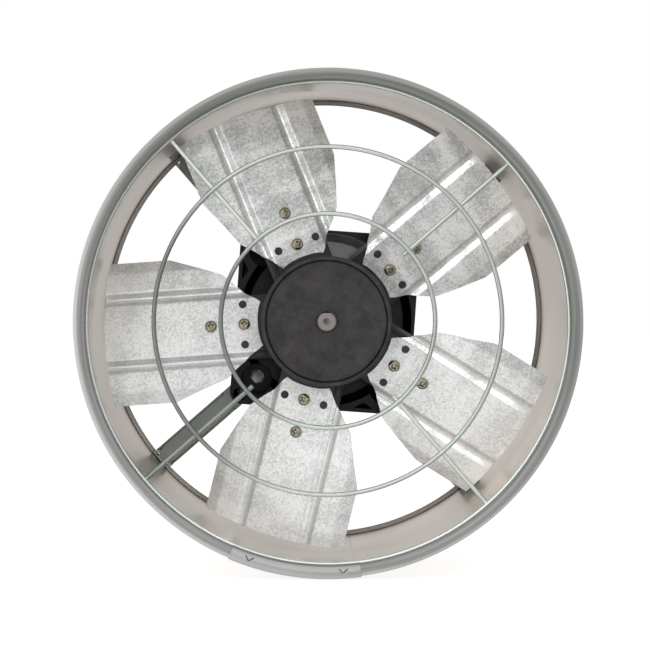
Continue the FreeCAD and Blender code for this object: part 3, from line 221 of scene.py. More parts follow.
def revolved(name, profile, angles, closed=False, swell=None, centre=(0, 0)):
    """A profile of (radius, depth) points turned about an axis along Y. swell gives, for arrays of
    radii, depths and angles, new radii and depths. Angles that don't reach round make an open arc."""
    profile = np.array(profile, float)
    angles = np.asarray(angles, float)
    full = angles[-1] - angles[0] > FULL_SPAN
    radius = np.repeat(profile[:, :1], len(angles), 1)
    depth = np.repeat(profile[:, 1:], len(angles), 1)
    turn = np.repeat(angles[None, :], len(profile), 0)
    run = np.concatenate([[0], np.cumsum(np.hypot(*np.diff(profile, axis=0).T))])
    if swell:
        radius, depth = swell(radius, depth, turn)
    rad = np.radians(turn)
    points = np.stack([centre[0] + radius * np.cos(rad), depth, centre[1] + radius * np.sin(rad)], -1)
    mean = profile[:, 0].mean()
    around = np.radians(np.append(angles, angles[0] + 360) if full else angles) * mean
    along = np.append(run, run[-1] + 1) if closed else run
    uv = np.stack(np.meshgrid(around, along), -1)
    vertices, faces, uvs = grid(points, uv, wrap_rows=closed, wrap_columns=full)
    faces = [list(face) for face in faces]
    if closed and not full:
        count = len(angles)
        faces.append([row * count for row in range(len(profile))])
        faces.append([row * count + count - 1 for row in range(len(profile))])
        uvs = np.vstack([uvs, np.zeros((2 * len(profile), 2))])
    return mesh_from(name, vertices, faces, uvs)


# Materials

# The ends of a weld's heat mark, the ease between a groove's slopes, and colours
SPOT_HALO, SLOPE_EASE = (1.6, 5.5), 0.8
HEATED, LIP_DARK = (0.25, 0.20, 0.17, 1), (0.30, 0.275, 0.25, 1)
# The third of these colours is painted light on the blades' far groove slopes.
CLEAN_ZINC, DULL_ZINC, FAR_SLOPE_LIGHT = (1, 1, 0.995, 1), (0.582, 0.604, 0.588, 1), (1, 1, 0.99, 1)
STRIP_PAINTED_LIGHT = (
    # two distances across a blade and the tones there: painted light and shade from one side of the
    # blade to the other, and painted shade along the bends of the edge strips
    (-EDGE_STRIP, EDGE_STRIP, 1.08, 0.93),
    (-EDGE_STRIP - 1.5, -EDGE_STRIP + 1.5, 0.88, 1),
    (EDGE_STRIP - 1.5, EDGE_STRIP + 1.5, 1, 0.82),
)
WIRE_PAINTED_LIGHT = (
    # wires, nearest and furthest from the axis, angle of the middle, cosines at its ends, tone of
    # painted light or shade
    ("rings", 0.0, 160.0, 190.0, 0.42, 0.85, 0.36),
    ("rings", 0.0, 160.0, 20.0, 0.5, 0.85, 0.74),
    ("rings", 186.0, 300.0, 285.0, 0.3, 0.9, 1.4),
    ("spokes", 0.0, 300.0, 215.0, 0.6, 0.95, 0.55),
)


class Graph:
    """Short ways to write a material's nodes."""

    def __init__(self, tree):
        self.tree = tree
        tree.nodes.clear()

    def node(self, kind, inputs=None, **settings):
        """A shader node, its inputs given as values or as other nodes' outputs."""
        made = self.tree.nodes.new(f"ShaderNode{kind}")
        for name, value in settings.items():
            setattr(made, name, value)
        for name, value in (inputs or {}).items():
            if isinstance(value, bpy.types.NodeSocket):
                self.tree.links.new(value, made.inputs[name])
            else:
                made.inputs[name].default_value = value
        return made

    def place(self, scale=(1, 1, 1), source="Object", turn=(0, 0, 0)):
        """Texture coordinates in metres, scaled by three factors."""
        where = self.node("TexCoord").outputs[source]
        inputs = {"Vector": where, "Scale": scale, "Rotation": turn}
        return self.node("Mapping", inputs).outputs["Vector"]

    def parts(self, vector):
        """A vector's outputs "X", "Y" and "Z"."""
        return self.node("SeparateXYZ", {"Vector": vector}).outputs

    def noise(self, vector, scale, detail, rough):
        inputs = {"Vector": vector, "Scale": scale, "Detail": detail, "Roughness": rough}
        return self.node("TexNoise", inputs).outputs["Fac"]

    def cells(self, vector, scale):
        """A random value for each cell of a broken-up pattern."""
        colour = self.node("TexVoronoi", {"Vector": vector, "Scale": scale}).outputs["Color"]
        return self.node("SeparateColor", {"Color": colour}).outputs["Red"]

    def maths(self, operation, first, second=0.0, third=0.0):
        inputs = {0: first, 1: second, 2: third}
        return self.node("Math", inputs, operation=operation).outputs[0]

    def vector(self, operation, *inputs, output="Vector"):
        made = self.node("VectorMath", dict(enumerate(inputs)), operation=operation)
        return made.outputs[output]

    def span(self, value, low, high, to_low, to_high):
        """The value moved from one span to another, and held at its ends."""
        inputs = {0: value, 1: low, 2: high, 3: to_low, 4: to_high}
        return self.node("MapRange", inputs).outputs[0]

    def ramp(self, length, low, high, to_low, to_high):
        """The same for a length, whose span is given in millimetres."""
        return self.span(length, low * MM, high * MM, to_low, to_high)

    def mix(self, share, first, second):
        inputs = {0: share, 6: first, 7: second}
        return self.node("Mix", inputs, data_type="RGBA").outputs[2]

    def tint(self, colour, share, low, high):
        """A colour that a value from 0 to 1 makes darker or lighter."""
        dark = tuple(min(1, part * low) for part in colour) + (1,)
        light = tuple(min(1, part * high) for part in colour) + (1,)
        return self.mix(share, dark, light)

    def lean(self, angle, low, high):
        """0 to 1 as the direction from the fan's axis turns towards an angle. low and high are the
        cosines of the turns still to go at the two ends."""
        outward = self.vector("NORMALIZE", self.place((1, 0, 1)))
        aim = (math.cos(math.radians(angle)), 0, math.sin(math.radians(angle)))
        facing = self.vector("DOT_PRODUCT", outward, aim, output="Value")
        return self.span(facing, low, high, 0, 1)

    def reach(self):
        """The distance from the fan's axis."""
        return self.vector("LENGTH", self.place((1, 0, 1)), output="Value")

    def depth(self):
        """The distance along the fan's axis."""
        return self.parts(self.place())["Y"]

    def scaled(self, colour, share):
        """A colour times a value."""
        inputs = {0: colour, "Scale": share}
        return self.node("VectorMath", inputs, operation="SCALE").outputs["Vector"]

    def bump(self, height, depth, base=None):
        """The normal, or a base normal, with a relief of a depth in millimetres."""
        inputs = {"Height": height, "Distance": depth * MM, "Strength": 1.0}
        if base:
            inputs["Normal"] = base
        return self.node("Bump", inputs).outputs["Normal"]


def material(name, build):
    """A material whose inputs come from a function of its graph."""
    made = bpy.data.materials.new(name)
    made.use_nodes = True
    graph = Graph(made.node_tree)
    surface = graph.node("BsdfPrincipled", build(graph))
    graph.node("OutputMaterial", {"Surface": surface.outputs["BSDF"]})
    return made


def soft_edges(graph, radius):
    """The normal with sharp edges rounded over by a small radius in millimetres."""
    return graph.node("Bevel", {"Radius": radius * MM}, samples=4).outputs["Normal"]


def weld_halo(graph):
    """The share of heat marks: most at the spot welds of the arms' feet, and 0 away from them."""
    folded = graph.parts(graph.place(turn=(0, math.radians(CROSS_ANGLE), 0)))
    sides = [graph.maths("ABSOLUTE", folded[axis]) for axis in ("X", "Z")]
    across = graph.maths("MINIMUM", *sides)
    halo = 0.0
    for spot in SPOT_DEPTHS:
        off = graph.maths("SUBTRACT", folded["Y"], spot * MM)
        place = graph.node("CombineXYZ", {"X": across, "Y": off}).outputs["Vector"]
        distance = graph.vector("LENGTH", place, output="Value")
        halo = graph.maths("MAXIMUM", halo, graph.ramp(distance, *SPOT_HALO, 0.85, 0))
    return halo


def streaked_sheet(colour, roughness, wall=False):
    """Rolled sheet with fine lines along the first UV direction, faint clouds and painted shade in
    dents and other hollows. The duct's wall has more tones."""

    def build(graph):
        lines = graph.noise(graph.place((18, 1700, 1), "UV"), 1.0, 5.0, 0.65)
        clouds = graph.noise(graph.place(), 16.0, 4.0, 0.5)
        mottle = graph.maths("MULTIPLY_ADD", clouds, 0.4, graph.maths("MULTIPLY", lines, 0.6))
        tone = graph.tint(colour, graph.span(mottle, 0.3, 0.7, 0, 1), 0.87, 1.12)
        rough = graph.span(lines, 0.2, 0.8, roughness - 0.07, roughness + 0.07)
        metallic = 1.0
        if wall:
            tone, front = wall_tones(graph, tone)
            rough = graph.maths("ADD", rough, graph.maths("MULTIPLY", front, 0.12))
            metallic = graph.span(front, 0, 1, 1.0, 0.5)
        # Painted shade: the colour is darkened where the surface is hollow, as in dents.
        dent_shade = graph.span(graph.node("NewGeometry").outputs["Pointiness"], 0.43, 0.49, 0.25, 1)
        return {
            "Base Color": graph.scaled(tone, dent_shade),
            "Metallic": metallic,
            "Roughness": rough,
            "Anisotropic": 0.35,
            "Normal": graph.bump(lines, 0.004),
        }

    return build


def wall_tones(graph, tone):
    """The duct's other tones: a bead dulled by the rolling, with painted shade up and to the right,
    a painted dark line along its crest and a painted highlight on its outer edge, a darker lip,
    painted light on the lower right and heat marks round the welds. Also gives the share of the bead."""
    depth = graph.depth()
    front = graph.ramp(depth, -1.5, 1.5, 1, 0)
    rear = graph.ramp(depth, DUCT_REAR - 3.0, DUCT_REAR - 1.6, 0, 1)
    rolled = graph.noise(graph.place((7, 620, 1), "UV"), 1.0, 3.0, 0.6)
    rolled = graph.span(rolled, 0.3, 0.7, 0, 1)
    # Lit and shaded copies of the bead's colour: painted shade darkens the bead up and to the right.
    pale = graph.tint((0.345, 0.34, 0.335), rolled, 0.78, 1.2)
    dark = graph.tint((0.235, 0.242, 0.226), rolled, 0.78, 1.2)
    bead = graph.mix(graph.lean(60, -0.4, 0.5), pale, dark)
    # Painted highlight: the bead's outer edge is made lighter.
    bead = graph.scaled(bead, graph.ramp(graph.reach(), TUBE + 0.4, TUBE + 3.2, 1, 1.5))
    # Painted shade: a dark line along the bead's crest.
    off_crest = graph.maths("ABSOLUTE", graph.maths("SUBTRACT", graph.reach(), (TUBE - 0.8) * MM))
    bead = graph.scaled(bead, graph.ramp(off_crest, 0.6, 2.2, 0.84, 1))
    # Painted light: the wall is made lighter towards the lower right.
    tone = graph.scaled(tone, graph.span(graph.lean(318, 0.7, 0.95), 0, 1, 1, 1.18))
    tone = graph.mix(weld_halo(graph), tone, HEATED)
    tone = graph.mix(front, tone, bead)
    # The rear lip is given a darker colour.
    return graph.mix(rear, tone, LIP_DARK), front


def plated(colour, roughness, scale=420.0, depth=0.01, spread=0.12):
    """Plated or bright metal: fine speckle, soft clouds and slightly rounded edges."""

    def build(graph):
        speckle = graph.noise(graph.place(), scale, 3.0, 0.6)
        clouds = graph.noise(graph.place(), scale / 14, 3.0, 0.5)
        mottle = graph.maths("MULTIPLY_ADD", clouds, 0.5, graph.maths("MULTIPLY", speckle, 0.5))
        light = graph.span(mottle, 0.3, 0.7, 0, 1)
        return {
            "Base Color": graph.tint(colour, light, 1 - spread, 1 + spread),
            "Metallic": 1.0,
            "Roughness": graph.span(clouds, 0.3, 0.7, roughness - 0.06, roughness + 0.08),
            "Normal": graph.bump(speckle, depth, soft_edges(graph, 0.25)),
        }

    return build


def zinc_crystals(graph):
    """Values from 0 to 1 for broken-up crystals with smaller ones over them."""
    where = graph.place()
    warp = graph.maths("MULTIPLY", graph.noise(where, 260.0, 2.0, 0.5), 0.004)
    coarse = graph.cells(graph.vector("ADD", where, warp), 680.0)
    fine = graph.cells(where, 1150.0)
    return graph.maths("MULTIPLY_ADD", coarse, 0.6, graph.maths("MULTIPLY", fine, 0.4))


def zinc_bands(graph):
    """Slow clouds, and bands across the blade, from -0.17 to 0.17."""
    clouds = graph.noise(graph.place(), 34.0, 2.0, 0.4)
    bands = graph.noise(graph.place((75, 14, 1), "UV"), 1.0, 2.0, 0.5)
    slow = graph.maths("MULTIPLY_ADD", clouds, 0.5, graph.maths("MULTIPLY", bands, 0.5))
    return graph.span(slow, 0.36, 0.64, -0.17, 0.17)


def groove_slopes(graph, across):
    """The shares of a blade's near and far groove slopes, and the painted shade along the creases there.
    """
    middle = graph.maths("MULTIPLY", graph.maths("SIGN", across), GROOVE_MIDDLE * MM)
    slope = graph.maths("SUBTRACT", across, middle)
    pressed = graph.ramp(graph.maths("ABSOLUTE", slope), GROOVE_HALF - 1.0, GROOVE_HALF, 1, 0)
    near = graph.maths("MULTIPLY", pressed, graph.ramp(slope, -SLOPE_EASE, SLOPE_EASE, 1, 0))
    far = graph.maths("SUBTRACT", pressed, near)
    # Painted shade: a darker line along each groove's crease.
    off_crease = graph.maths("SUBTRACT", slope, (GROOVE_HALF - 1.8) * MM)
    crease_shade = graph.ramp(graph.maths("ABSOLUTE", off_crease), 0.8, 2.0, 0.74, 1)
    return near, far, crease_shade


def galvanised(graph):
    """Zinc dipped sheet: small crystals, soft bands and slow clouds, stronger on the blades at the
    top. The UVs are the distances along and across the blade. The grooves' near slopes are
    burnished and their far slopes are lightened with painted light. Painted shade runs along the
    creases and the bends of the edge strips, a painted light-to-shade gradient runs across the
    blade, and the sheet is darker towards the root."""
    sheet = graph.parts(graph.place(source="UV"))
    along, across = sheet["X"], sheet["Y"]
    crystals, bands = zinc_crystals(graph), zinc_bands(graph)
    near, far, crease_shade = groove_slopes(graph, across)
    top = graph.lean(76, -0.3, 0.6)
    # The sheet is darker towards the blade's root.
    root = graph.ramp(along, 60, 130, 0.84, 1)
    fade = graph.maths("MULTIPLY_ADD", bands, graph.span(top, 0, 1, 0, 0.8), root)
    # Painted light and shade across the blade, and painted shade at the edge strips' bends.
    for low, high, start, end in STRIP_PAINTED_LIGHT:
        fade = graph.maths("MULTIPLY", fade, graph.ramp(across, low, high, start, end))
    fade = graph.maths("MULTIPLY", fade, crease_shade)
    mottle = graph.maths("MULTIPLY_ADD", crystals, 0.66, graph.maths("ADD", bands, 0.17))
    spots = graph.span(mottle, 0.68, 0.24, 0, 1)
    spots = graph.maths("MULTIPLY", spots, graph.span(top, 0, 1, 0.76, 1))
    colour = graph.scaled(graph.mix(spots, CLEAN_ZINC, DULL_ZINC), fade)
    matt = graph.span(crystals, 0.1, 0.9, 0.48, 0.34)
    sheen = graph.maths("MULTIPLY_ADD", near, 0.2, graph.ramp(along, 90, 170, 0.55, 0.35))
    relief = graph.maths("MULTIPLY", crystals, graph.span(near, 0, 1, 1, 0.25))
    return {
        # Painted light: the grooves' far slopes are lightened towards a pale zinc colour.
        "Base Color": graph.mix(graph.maths("MULTIPLY", far, 0.2), colour, FAR_SLOPE_LIGHT),
        "Metallic": graph.maths("MULTIPLY_ADD", far, -0.12, sheen),
        "Roughness": graph.maths("MULTIPLY", matt, graph.span(near, 0, 1, 1, 0.5)),
        "Normal": graph.bump(relief, 0.008),
    }


def guard_wire(graph):
    """Zinc plated wire, pale green by its passivation. Painted shade darkens parts of the rings and
    the lower left spoke, and a painted highlight brightens the bottom of the outer ring."""
    where = graph.place()
    speckle = graph.noise(where, 500.0, 3.0, 0.6)
    patches = graph.noise(where, 30.0, 3.0, 0.5)
    colour = graph.tint((0.60, 0.65, 0.61), speckle, 0.88, 1.12)
    reach = graph.reach()
    rings = graph.maths("LESS_THAN", graph.depth(), (GUARD_DEPTH + WIRE / 2) * MM)
    masks = {"rings": rings, "spokes": graph.maths("SUBTRACT", 1.0, rings)}
    # Painted light and shade: the wire's colour is scaled by direction round the axis.
    for wires, nearest, furthest, angle, low, high, tone in WIRE_PAINTED_LIGHT:
        share = graph.maths("MULTIPLY", masks[wires], graph.lean(angle, low, high))
        share = graph.maths("MULTIPLY", share, graph.maths("LESS_THAN", reach, furthest * MM))
        share = graph.maths("MULTIPLY", share, graph.maths("GREATER_THAN", reach, nearest * MM))
        colour = graph.scaled(colour, graph.span(share, 0, 1, 1, tone))
    return {
        "Base Color": colour,
        "Metallic": 0.85,
        "Roughness": graph.span(patches, 0.3, 0.7, 0.24, 0.34),
        "Normal": graph.bump(speckle, 0.008),
    }


def moulded(colour, roughness, grain=900.0, depth=0.012):
    """Moulded plastic or rubber: an even fine grain and faint dust in patches."""

    def build(graph):
        fine = graph.noise(graph.place(), grain, 2.0, 0.6)
        clouds = graph.noise(graph.place(), 35.0, 6.0, 0.65)
        return {
            "Base Color": graph.tint(colour, graph.span(clouds, 0.3, 0.7, 0, 1), 0.88, 1.12),
            "Roughness": graph.span(clouds, 0.3, 0.7, roughness - 0.05, roughness + 0.07),
            "Normal": graph.bump(fine, depth, soft_edges(graph, 0.35)),
        }

    return build


def painted(graph):
    """Black paint on a casting, with a slight orange peel. A painted grey reflection lightens the
    upper part of the bowl."""
    where = graph.place()
    peel = graph.noise(where, 420.0, 3.0, 0.6)
    dust = graph.span(graph.noise(where, 60.0, 5.0, 0.65), 0.35, 0.7, 0, 1)
    bowl = graph.maths("LESS_THAN", graph.reach(), BOWL_RADIUS * MM)
    # Painted reflection: the upper part of the bowl takes the grey colour below, which stands for a
    # reflection, not bare metal.
    bowl_reflection = graph.maths("MULTIPLY", graph.lean(75, 0.5, 0.95), bowl)
    paint = graph.tint((0.005, 0.005, 0.0055), dust, 0.6, 2.0)
    metal = graph.tint((0.34, 0.335, 0.34), dust, 0.8, 1.2)
    return {
        "Base Color": graph.mix(bowl_reflection, paint, metal),
        "Metallic": graph.span(bowl_reflection, 0, 1, 0, 0.2),
        "Roughness": graph.span(dust, 0, 1, 0.28, 0.38),
        "Specular IOR Level": 0.22,
        "Normal": graph.bump(peel, 0.02, soft_edges(graph, 1.0)),
    }


def turned_plastic(graph):
    """Charcoal plastic with a fine turned grain round the axis, and dust in patches."""
    where = graph.place()
    grain = graph.node("CombineXYZ", {"X": graph.reach()}).outputs["Vector"]
    rings = graph.noise(grain, 2200.0, 3.0, 0.7)
    dust = graph.span(graph.noise(where, 75.0, 6.0, 0.7), 0.3, 0.7, 0, 1)
    return {
        "Base Color": graph.tint((0.036, 0.0325, 0.0335), dust, 0.45, 1.6),
        "Specular IOR Level": 0.3,
        "Roughness": graph.span(dust, 0, 1, 0.36, 0.50),
        "Anisotropic": 0.6,
        "Tangent": graph.node("Tangent", direction_type="RADIAL", axis="Y").outputs["Tangent"],
        "Normal": graph.bump(rings, 0.012, soft_edges(graph, 1.0)),
    }


def machined(colour, roughness):
    """Turned or ground steel: fine rings about the fan's axis."""

    def build(graph):
        ring = graph.node("CombineXYZ", {"X": graph.reach()}).outputs["Vector"]
        rings = graph.noise(ring, 2600.0, 3.0, 0.7)
        clouds = graph.noise(graph.place(), 120.0, 3.0, 0.5)
        return {
            "Base Color": graph.tint(colour, rings, 0.86, 1.12),
            "Metallic": 1.0,
            "Roughness": graph.span(clouds, 0.3, 0.7, roughness - 0.06, roughness + 0.08),
            "Normal": graph.bump(rings, 0.006, soft_edges(graph, 0.2)),
        }

    return build


def wound(graph):
    """Varnished copper wire in close turns."""
    where = graph.place()
    turns = graph.node("TexWave", {"Vector": where, "Scale": 320.0, "Distortion": 1.5}).outputs["Fac"]
    return {
        "Base Color": graph.tint((0.62, 0.26, 0.10), turns, 0.6, 1.25),
        "Metallic": 0.9,
        "Roughness": 0.3,
        "Normal": graph.bump(turns, 0.3),
    }


def stacked(graph):
    """Stamped laminations, seen as fine lines across the fan's axis."""
    across = graph.place((0, 1, 0))
    sheets = graph.noise(across, 2000.0, 1.0, 0.5)
    return {
        "Base Color": graph.tint((0.30, 0.30, 0.32), sheets, 0.7, 1.2),
        "Metallic": 0.9,
        "Roughness": 0.5,
        "Normal": graph.bump(sheets, 0.05),
    }


FINISHES = {
    "duct_sheet": streaked_sheet((0.64, 0.58, 0.53), 0.38, wall=True),
    "strap_sheet": streaked_sheet((0.46, 0.452, 0.45), 0.42),
    "guard_wire": guard_wire,
    "arm_sheet": plated((0.235, 0.248, 0.225), 0.36, scale=520.0, depth=0.012),
    "motor_black": painted,
    "zinc_fasteners": plated((0.15, 0.165, 0.155), 0.26, spread=0.2),
    "bearing_steel": machined((0.62, 0.62, 0.62), 0.18),
    "cage_polymer": moulded((0.14, 0.10, 0.07), 0.45),
    "spring_steel": machined((0.36, 0.38, 0.42), 0.3),
    "core_steel": stacked,
    "copper_wire": wound,
    "protector_plastic": moulded((0.72, 0.69, 0.60), 0.4),
    "cast_aluminium": plated((0.70, 0.70, 0.71), 0.45, scale=300.0, depth=0.03),
    "shaft_steel": machined((0.25, 0.225, 0.22), 0.36),
    "hub_plastic": turned_plastic,
    "blade_sheet": galvanised,
    "yellow_zinc": plated((0.35, 0.325, 0.245), 0.22, scale=600.0, spread=0.25),
    "capacitor_can": moulded((0.74, 0.74, 0.72), 0.3),
    "gland_plastic": moulded((0.03, 0.03, 0.03), 0.42),
    "cable_rubber": moulded((0.025, 0.025, 0.026), 0.55, grain=700.0, depth=0.03),
    "core_insulation": moulded((0.16, 0.24, 0.30), 0.4),
}
MATERIALS = {slot: material(slot, build) for slot, build in FINISHES.items()}

for node_name, node_object in frame["nodes"].items():
    node_object.data.materials.clear()
    node_object.data.materials.append(MATERIALS[SLOTS[node_name]])


# The duct and the strap over its joint

# The bead's curl and flare, the lip's broken edges, the closer rows over the welds, the joint
# line, and the dent and the burr of a weld
CURL_ROOT, CURL_END, FLARE_END = 112.0, 466.0, 0.5
OUTER_BREAK, INNER_BREAK = 0.3, 0.2
SPOT_BAND, SPOT_STEP = 5.0, 0.6
SEAM_ANGLE, SEAM_DEPTH, SEAM_WIDTH = 276.6, 0.3, 0.45
DENT_DEPTH, DENT_FLOOR, DENT_EDGE = 0.35, 1.6, 2.9
BURR_HEIGHT, BURR_RADIUS, BURR_WIDTH = 0.10, 3.1, 0.6


def duct_profile():
    """The bead, the outside of the wall, the lip and the inside of the wall."""
    inside = TUBE_RADIUS - SHEET
    outer_wall = WALL + SHEET
    start = math.degrees(math.acos((WALL - TUBE) / TUBE_RADIUS))
    bend = outer_wall - LIP_BEND
    bend_depth = DUCT_REAR - LIP_BEND
    first, last = SPOT_DEPTHS[0] - SPOT_BAND, SPOT_DEPTHS[1] + SPOT_BAND
    points = arc(TUBE, TUBE_DEPTH, TUBE_RADIUS, start, CURL_END, 60)
    points += arc(TUBE, TUBE_DEPTH, inside, CURL_END, CURL_ROOT, 40)
    points += line((outer_wall, FLARE_END), (outer_wall, first - 2), 16)
    points += [(outer_wall, depth) for depth in np.arange(first, last, SPOT_STEP)]
    points += line((outer_wall, last + 2), (outer_wall, bend_depth), 3)
    points += arc(bend, bend_depth, LIP_BEND, 0, 90, 9)
    points += [(LIP_INNER + OUTER_BREAK, DUCT_REAR), (LIP_INNER, DUCT_REAR - OUTER_BREAK)]
    points += [(LIP_INNER, DUCT_REAR - SHEET + INNER_BREAK), (LIP_INNER + INNER_BREAK, DUCT_REAR - SHEET)]
    points += arc(bend, bend_depth, LIP_BEND - SHEET, 90, 0, 6)
    points += line((WALL, bend_depth - 2), (WALL, 1), 26)
    return points


def duct_swell(radius, depth, angle):
    """The shallow joint line along the wall, and the spot welds that hold the arms' feet."""
    offset = np.radians(angle - SEAM_ANGLE) * WALL
    on_wall = (depth > 1) & (depth < DUCT_REAR - LIP_BEND)
    inner = on_wall & (radius < WALL + 0.01)
    outer = on_wall & (radius > WALL + SHEET - 0.01)
    seam = SEAM_DEPTH * bell(offset, SEAM_WIDTH)
    result = radius + np.where(inner, seam, 0) - np.where(outer, seam, 0)
    for arm in range(4):
        for spot in SPOT_DEPTHS:
            across = np.radians(angle - CROSS_ANGLE - 90 * arm) * WALL
            distance = np.hypot(across, depth - spot)
            dent = DENT_DEPTH * (1 - smooth(DENT_FLOOR, DENT_EDGE, distance))
            burr = BURR_HEIGHT * bell(distance - BURR_RADIUS, BURR_WIDTH)
            result = result - np.where(outer, dent - burr, 0)
    return result, depth


def duct_angles():
    """The angles of the duct's columns, closer together at the seam and at the welds."""
    near_seam = SEAM_ANGLE + np.array([-0.5, -0.3, -0.2, -0.1, 0, 0.1, 0.2, 0.3, 0.5])
    near_spots = [CROSS_ANGLE + 90 * arm + np.arange(-1.3, 1.31, 0.13) for arm in range(4)]
    angles = np.concatenate([np.arange(0, 360, 1.0), near_seam, *near_spots])
    return np.unique(np.round(angles, 3))


duct = revolved("duct_ring", duct_profile(), duct_angles(), closed=True, swell=duct_swell)
piece("duct_ring", duct, "duct_sheet", "frame", ["duct_shell"])

STRAP_START, STRAP_END, STRAP_SHEET = 247.0, 277.5, 0.8
STRAP_WRAP, STRAP_GAP = (185.0, 410.0), 0.05
CLINCHES, CLINCH_AROUND = (251.5, 273.5), 250.0
CLINCH_TIP, CLINCH_SPREAD, CLINCH_LENGTH = 2.7, 1.0, 3.0
CLINCH_DEPTH, CLINCH_WIDTH = 0.78, 0.62


def strap_swell(radius, depth, angle):
    """The V marks where the strap is clinched to the bead, pressed in along the tube's radius."""
    out = np.hypot(radius - TUBE, depth - TUBE_DEPTH)
    around = np.degrees(np.arctan2(depth - TUBE_DEPTH, radius - TUBE)) % 360
    along = np.radians(around - CLINCH_AROUND) * TUBE_RADIUS
    tail = CLINCH_TIP - CLINCH_LENGTH
    reach = smooth(tail - 0.7, tail, along) * (1 - smooth(CLINCH_TIP, CLINCH_TIP + 0.6, along))
    dent = 0
    for clinch in CLINCHES:
        across = np.radians(angle - clinch) * TUBE
        off = np.abs(np.abs(across) - CLINCH_SPREAD * (CLINCH_TIP - along))
        dent = dent + CLINCH_DEPTH * bell(off, CLINCH_WIDTH) * reach
    dent = np.where(out > TUBE_RADIUS + SHEET / 3, dent, 0)
    share = (out - dent) / out
    return TUBE + (radius - TUBE) * share, TUBE_DEPTH + (depth - TUBE_DEPTH) * share


strap_inside = TUBE_RADIUS + STRAP_GAP
strap_profile = arc(TUBE, TUBE_DEPTH, strap_inside + STRAP_SHEET, *STRAP_WRAP, 74)
strap_profile += arc(TUBE, TUBE_DEPTH, strap_inside, *reversed(STRAP_WRAP), 50)
strap_angles = [np.linspace(STRAP_START, STRAP_END, 62)]
strap_angles += [clinch + np.arange(-1.3, 1.31, 0.06) for clinch in CLINCHES]
strap_angles = np.unique(np.round(np.concatenate(strap_angles), 3))
strap = revolved("joint_strap", strap_profile, strap_angles, closed=True, swell=strap_swell)
piece("joint_strap", strap, "strap_sheet", "frame", ["rim_joint_strap"])


# The guard

SPOKE_START, SPOKE_GAP, SPOKE_BEHIND = 78.6, 0.3, 0.02
SPOKE_STEP, WIRE_SIDES = 1.5, 16
FLASH_HEIGHT, FLASH_WIDTH, JOINT_FALL, JOINT_WIDTH = 0.12, 0.9, 0.14, 0.28
WELD_HEIGHT, WELD_WIDTH = 0.28, 1.7
OUTER_RING, MIDDLE_RING, INNER_RING = 190.1, 137.0, 84.4
RINGS = (
    # node, radius, height over the axis, angle of the butt weld
    ("guard_outer_ring", OUTER_RING, 0.0, 292.0),
    ("guard_middle_ring", MIDDLE_RING, GUARD_RISE, 108.0),
    ("guard_inner_ring", INNER_RING, GUARD_RISE, 231.0),
)


def guard_ring(node, ring_radius, rise, weld):
    """A bent wire whose ends are butt welded, with a thin flash round the joint."""

    def swell(radius, depth, angle):
        along = np.radians(angle - weld) * ring_radius
        share = 1 + FLASH_HEIGHT * bell(along, FLASH_WIDTH) - JOINT_FALL * bell(along, JOINT_WIDTH)
        return ring_radius + (radius - ring_radius) * share, GUARD_DEPTH + (depth - GUARD_DEPTH) * share

    section = arc(ring_radius, GUARD_DEPTH, WIRE / 2, 0, 360 - 360 / WIRE_SIDES, WIRE_SIDES)
    near = weld + np.degrees(np.linspace(-2, 2, 25) / ring_radius)
    angles = np.unique(np.round(np.concatenate([np.arange(0, 360, 1.25), near % 360]), 4))
    mesh = revolved(node, section, angles, closed=True, swell=swell, centre=(0, rise))
    piece(node.replace("guard", "wire"), mesh, "guard_wire", "frame", [node])


def guard_spoke(index):
    """A straight wire behind the rings, its front squeezed into them where it is welded."""
    turn = math.radians(CROSS_ANGLE + 90 * index)
    rise_along, rise_across = GUARD_RISE * math.sin(turn), GUARD_RISE * math.cos(turn)
    end = math.sqrt((WALL - SPOKE_GAP) ** 2 - rise_across**2) - rise_along
    outer = math.sqrt(OUTER_RING**2 - rise_across**2) - rise_along
    crossings = [INNER_RING, MIDDLE_RING, outer]
    along = [np.arange(SPOKE_START, end, SPOKE_STEP)]
    along += [crossing + np.linspace(-3, 3, 13) for crossing in crossings]
    along = np.unique(np.clip(np.concatenate(along), SPOKE_START + 0.5, end - 0.5))
    start_rows = [SPOKE_START, SPOKE_START, SPOKE_START + 0.2]
    along = np.concatenate([start_rows, along, [end - 0.2, end, end]])
    ends = np.ones(len(along))
    ends[[0, -1]] = 0
    ends[[1, -2]] = 0.8
    ends[[2, -3]] = 0.95
    angles = np.linspace(0, 2 * math.pi, WIRE_SIDES, endpoint=False)
    front = np.clip(-np.cos(angles), 0, 1)
    weld = WELD_HEIGHT * sum(bell(along - crossing, WELD_WIDTH) for crossing in crossings)
    radius = WIRE / 2 * ends[:, None] * (1 + weld[:, None] * front[None, :])
    y = GUARD_DEPTH + WIRE + SPOKE_BEHIND + radius * np.cos(angles)
    z = radius * np.sin(angles)
    points = np.stack([np.repeat(along[:, None], WIRE_SIDES, 1), y, z], -1)
    uv = np.stack(np.meshgrid(np.linspace(0, math.pi * WIRE, WIRE_SIDES + 1), along), -1)
    name = f"wire_spoke_{index + 1}"
    mesh = mesh_from(name, *grid(points, uv, wrap_columns=True))
    place = Matrix.Translation((0, 0, GUARD_RISE * MM)) @ about_axis(CROSS_ANGLE + 90 * index)
    piece(name, mesh, "guard_wire", "frame", [f"guard_spoke_{index + 1}"], place)


for ring in RINGS:
    guard_ring(*ring)
for number in range(4):
    guard_spoke(number)


# The arms

ARM_HALF, ARM_SHEET, ARM_FRONT, ARM_INNER = 9.7, 1.5, 150.0, 62.0
FOOT_FACE, FOOT_FRONT = 190.45, 118.5
ARM_BEND, FLANGE_BEND, FLANGE_DEPTH = 1.6, 2.6, 5.5
CHANNEL_START, CHANNEL_END = (108, 116), (179, 186)
RELIEF_RADIUS, RELIEF_PLACE, RELIEF_SPREAD, RELIEF_DEPTHS = 1.4, 187.65, 5.9, (140, 160)
BEHIND_ARM = (120, 160, 0)


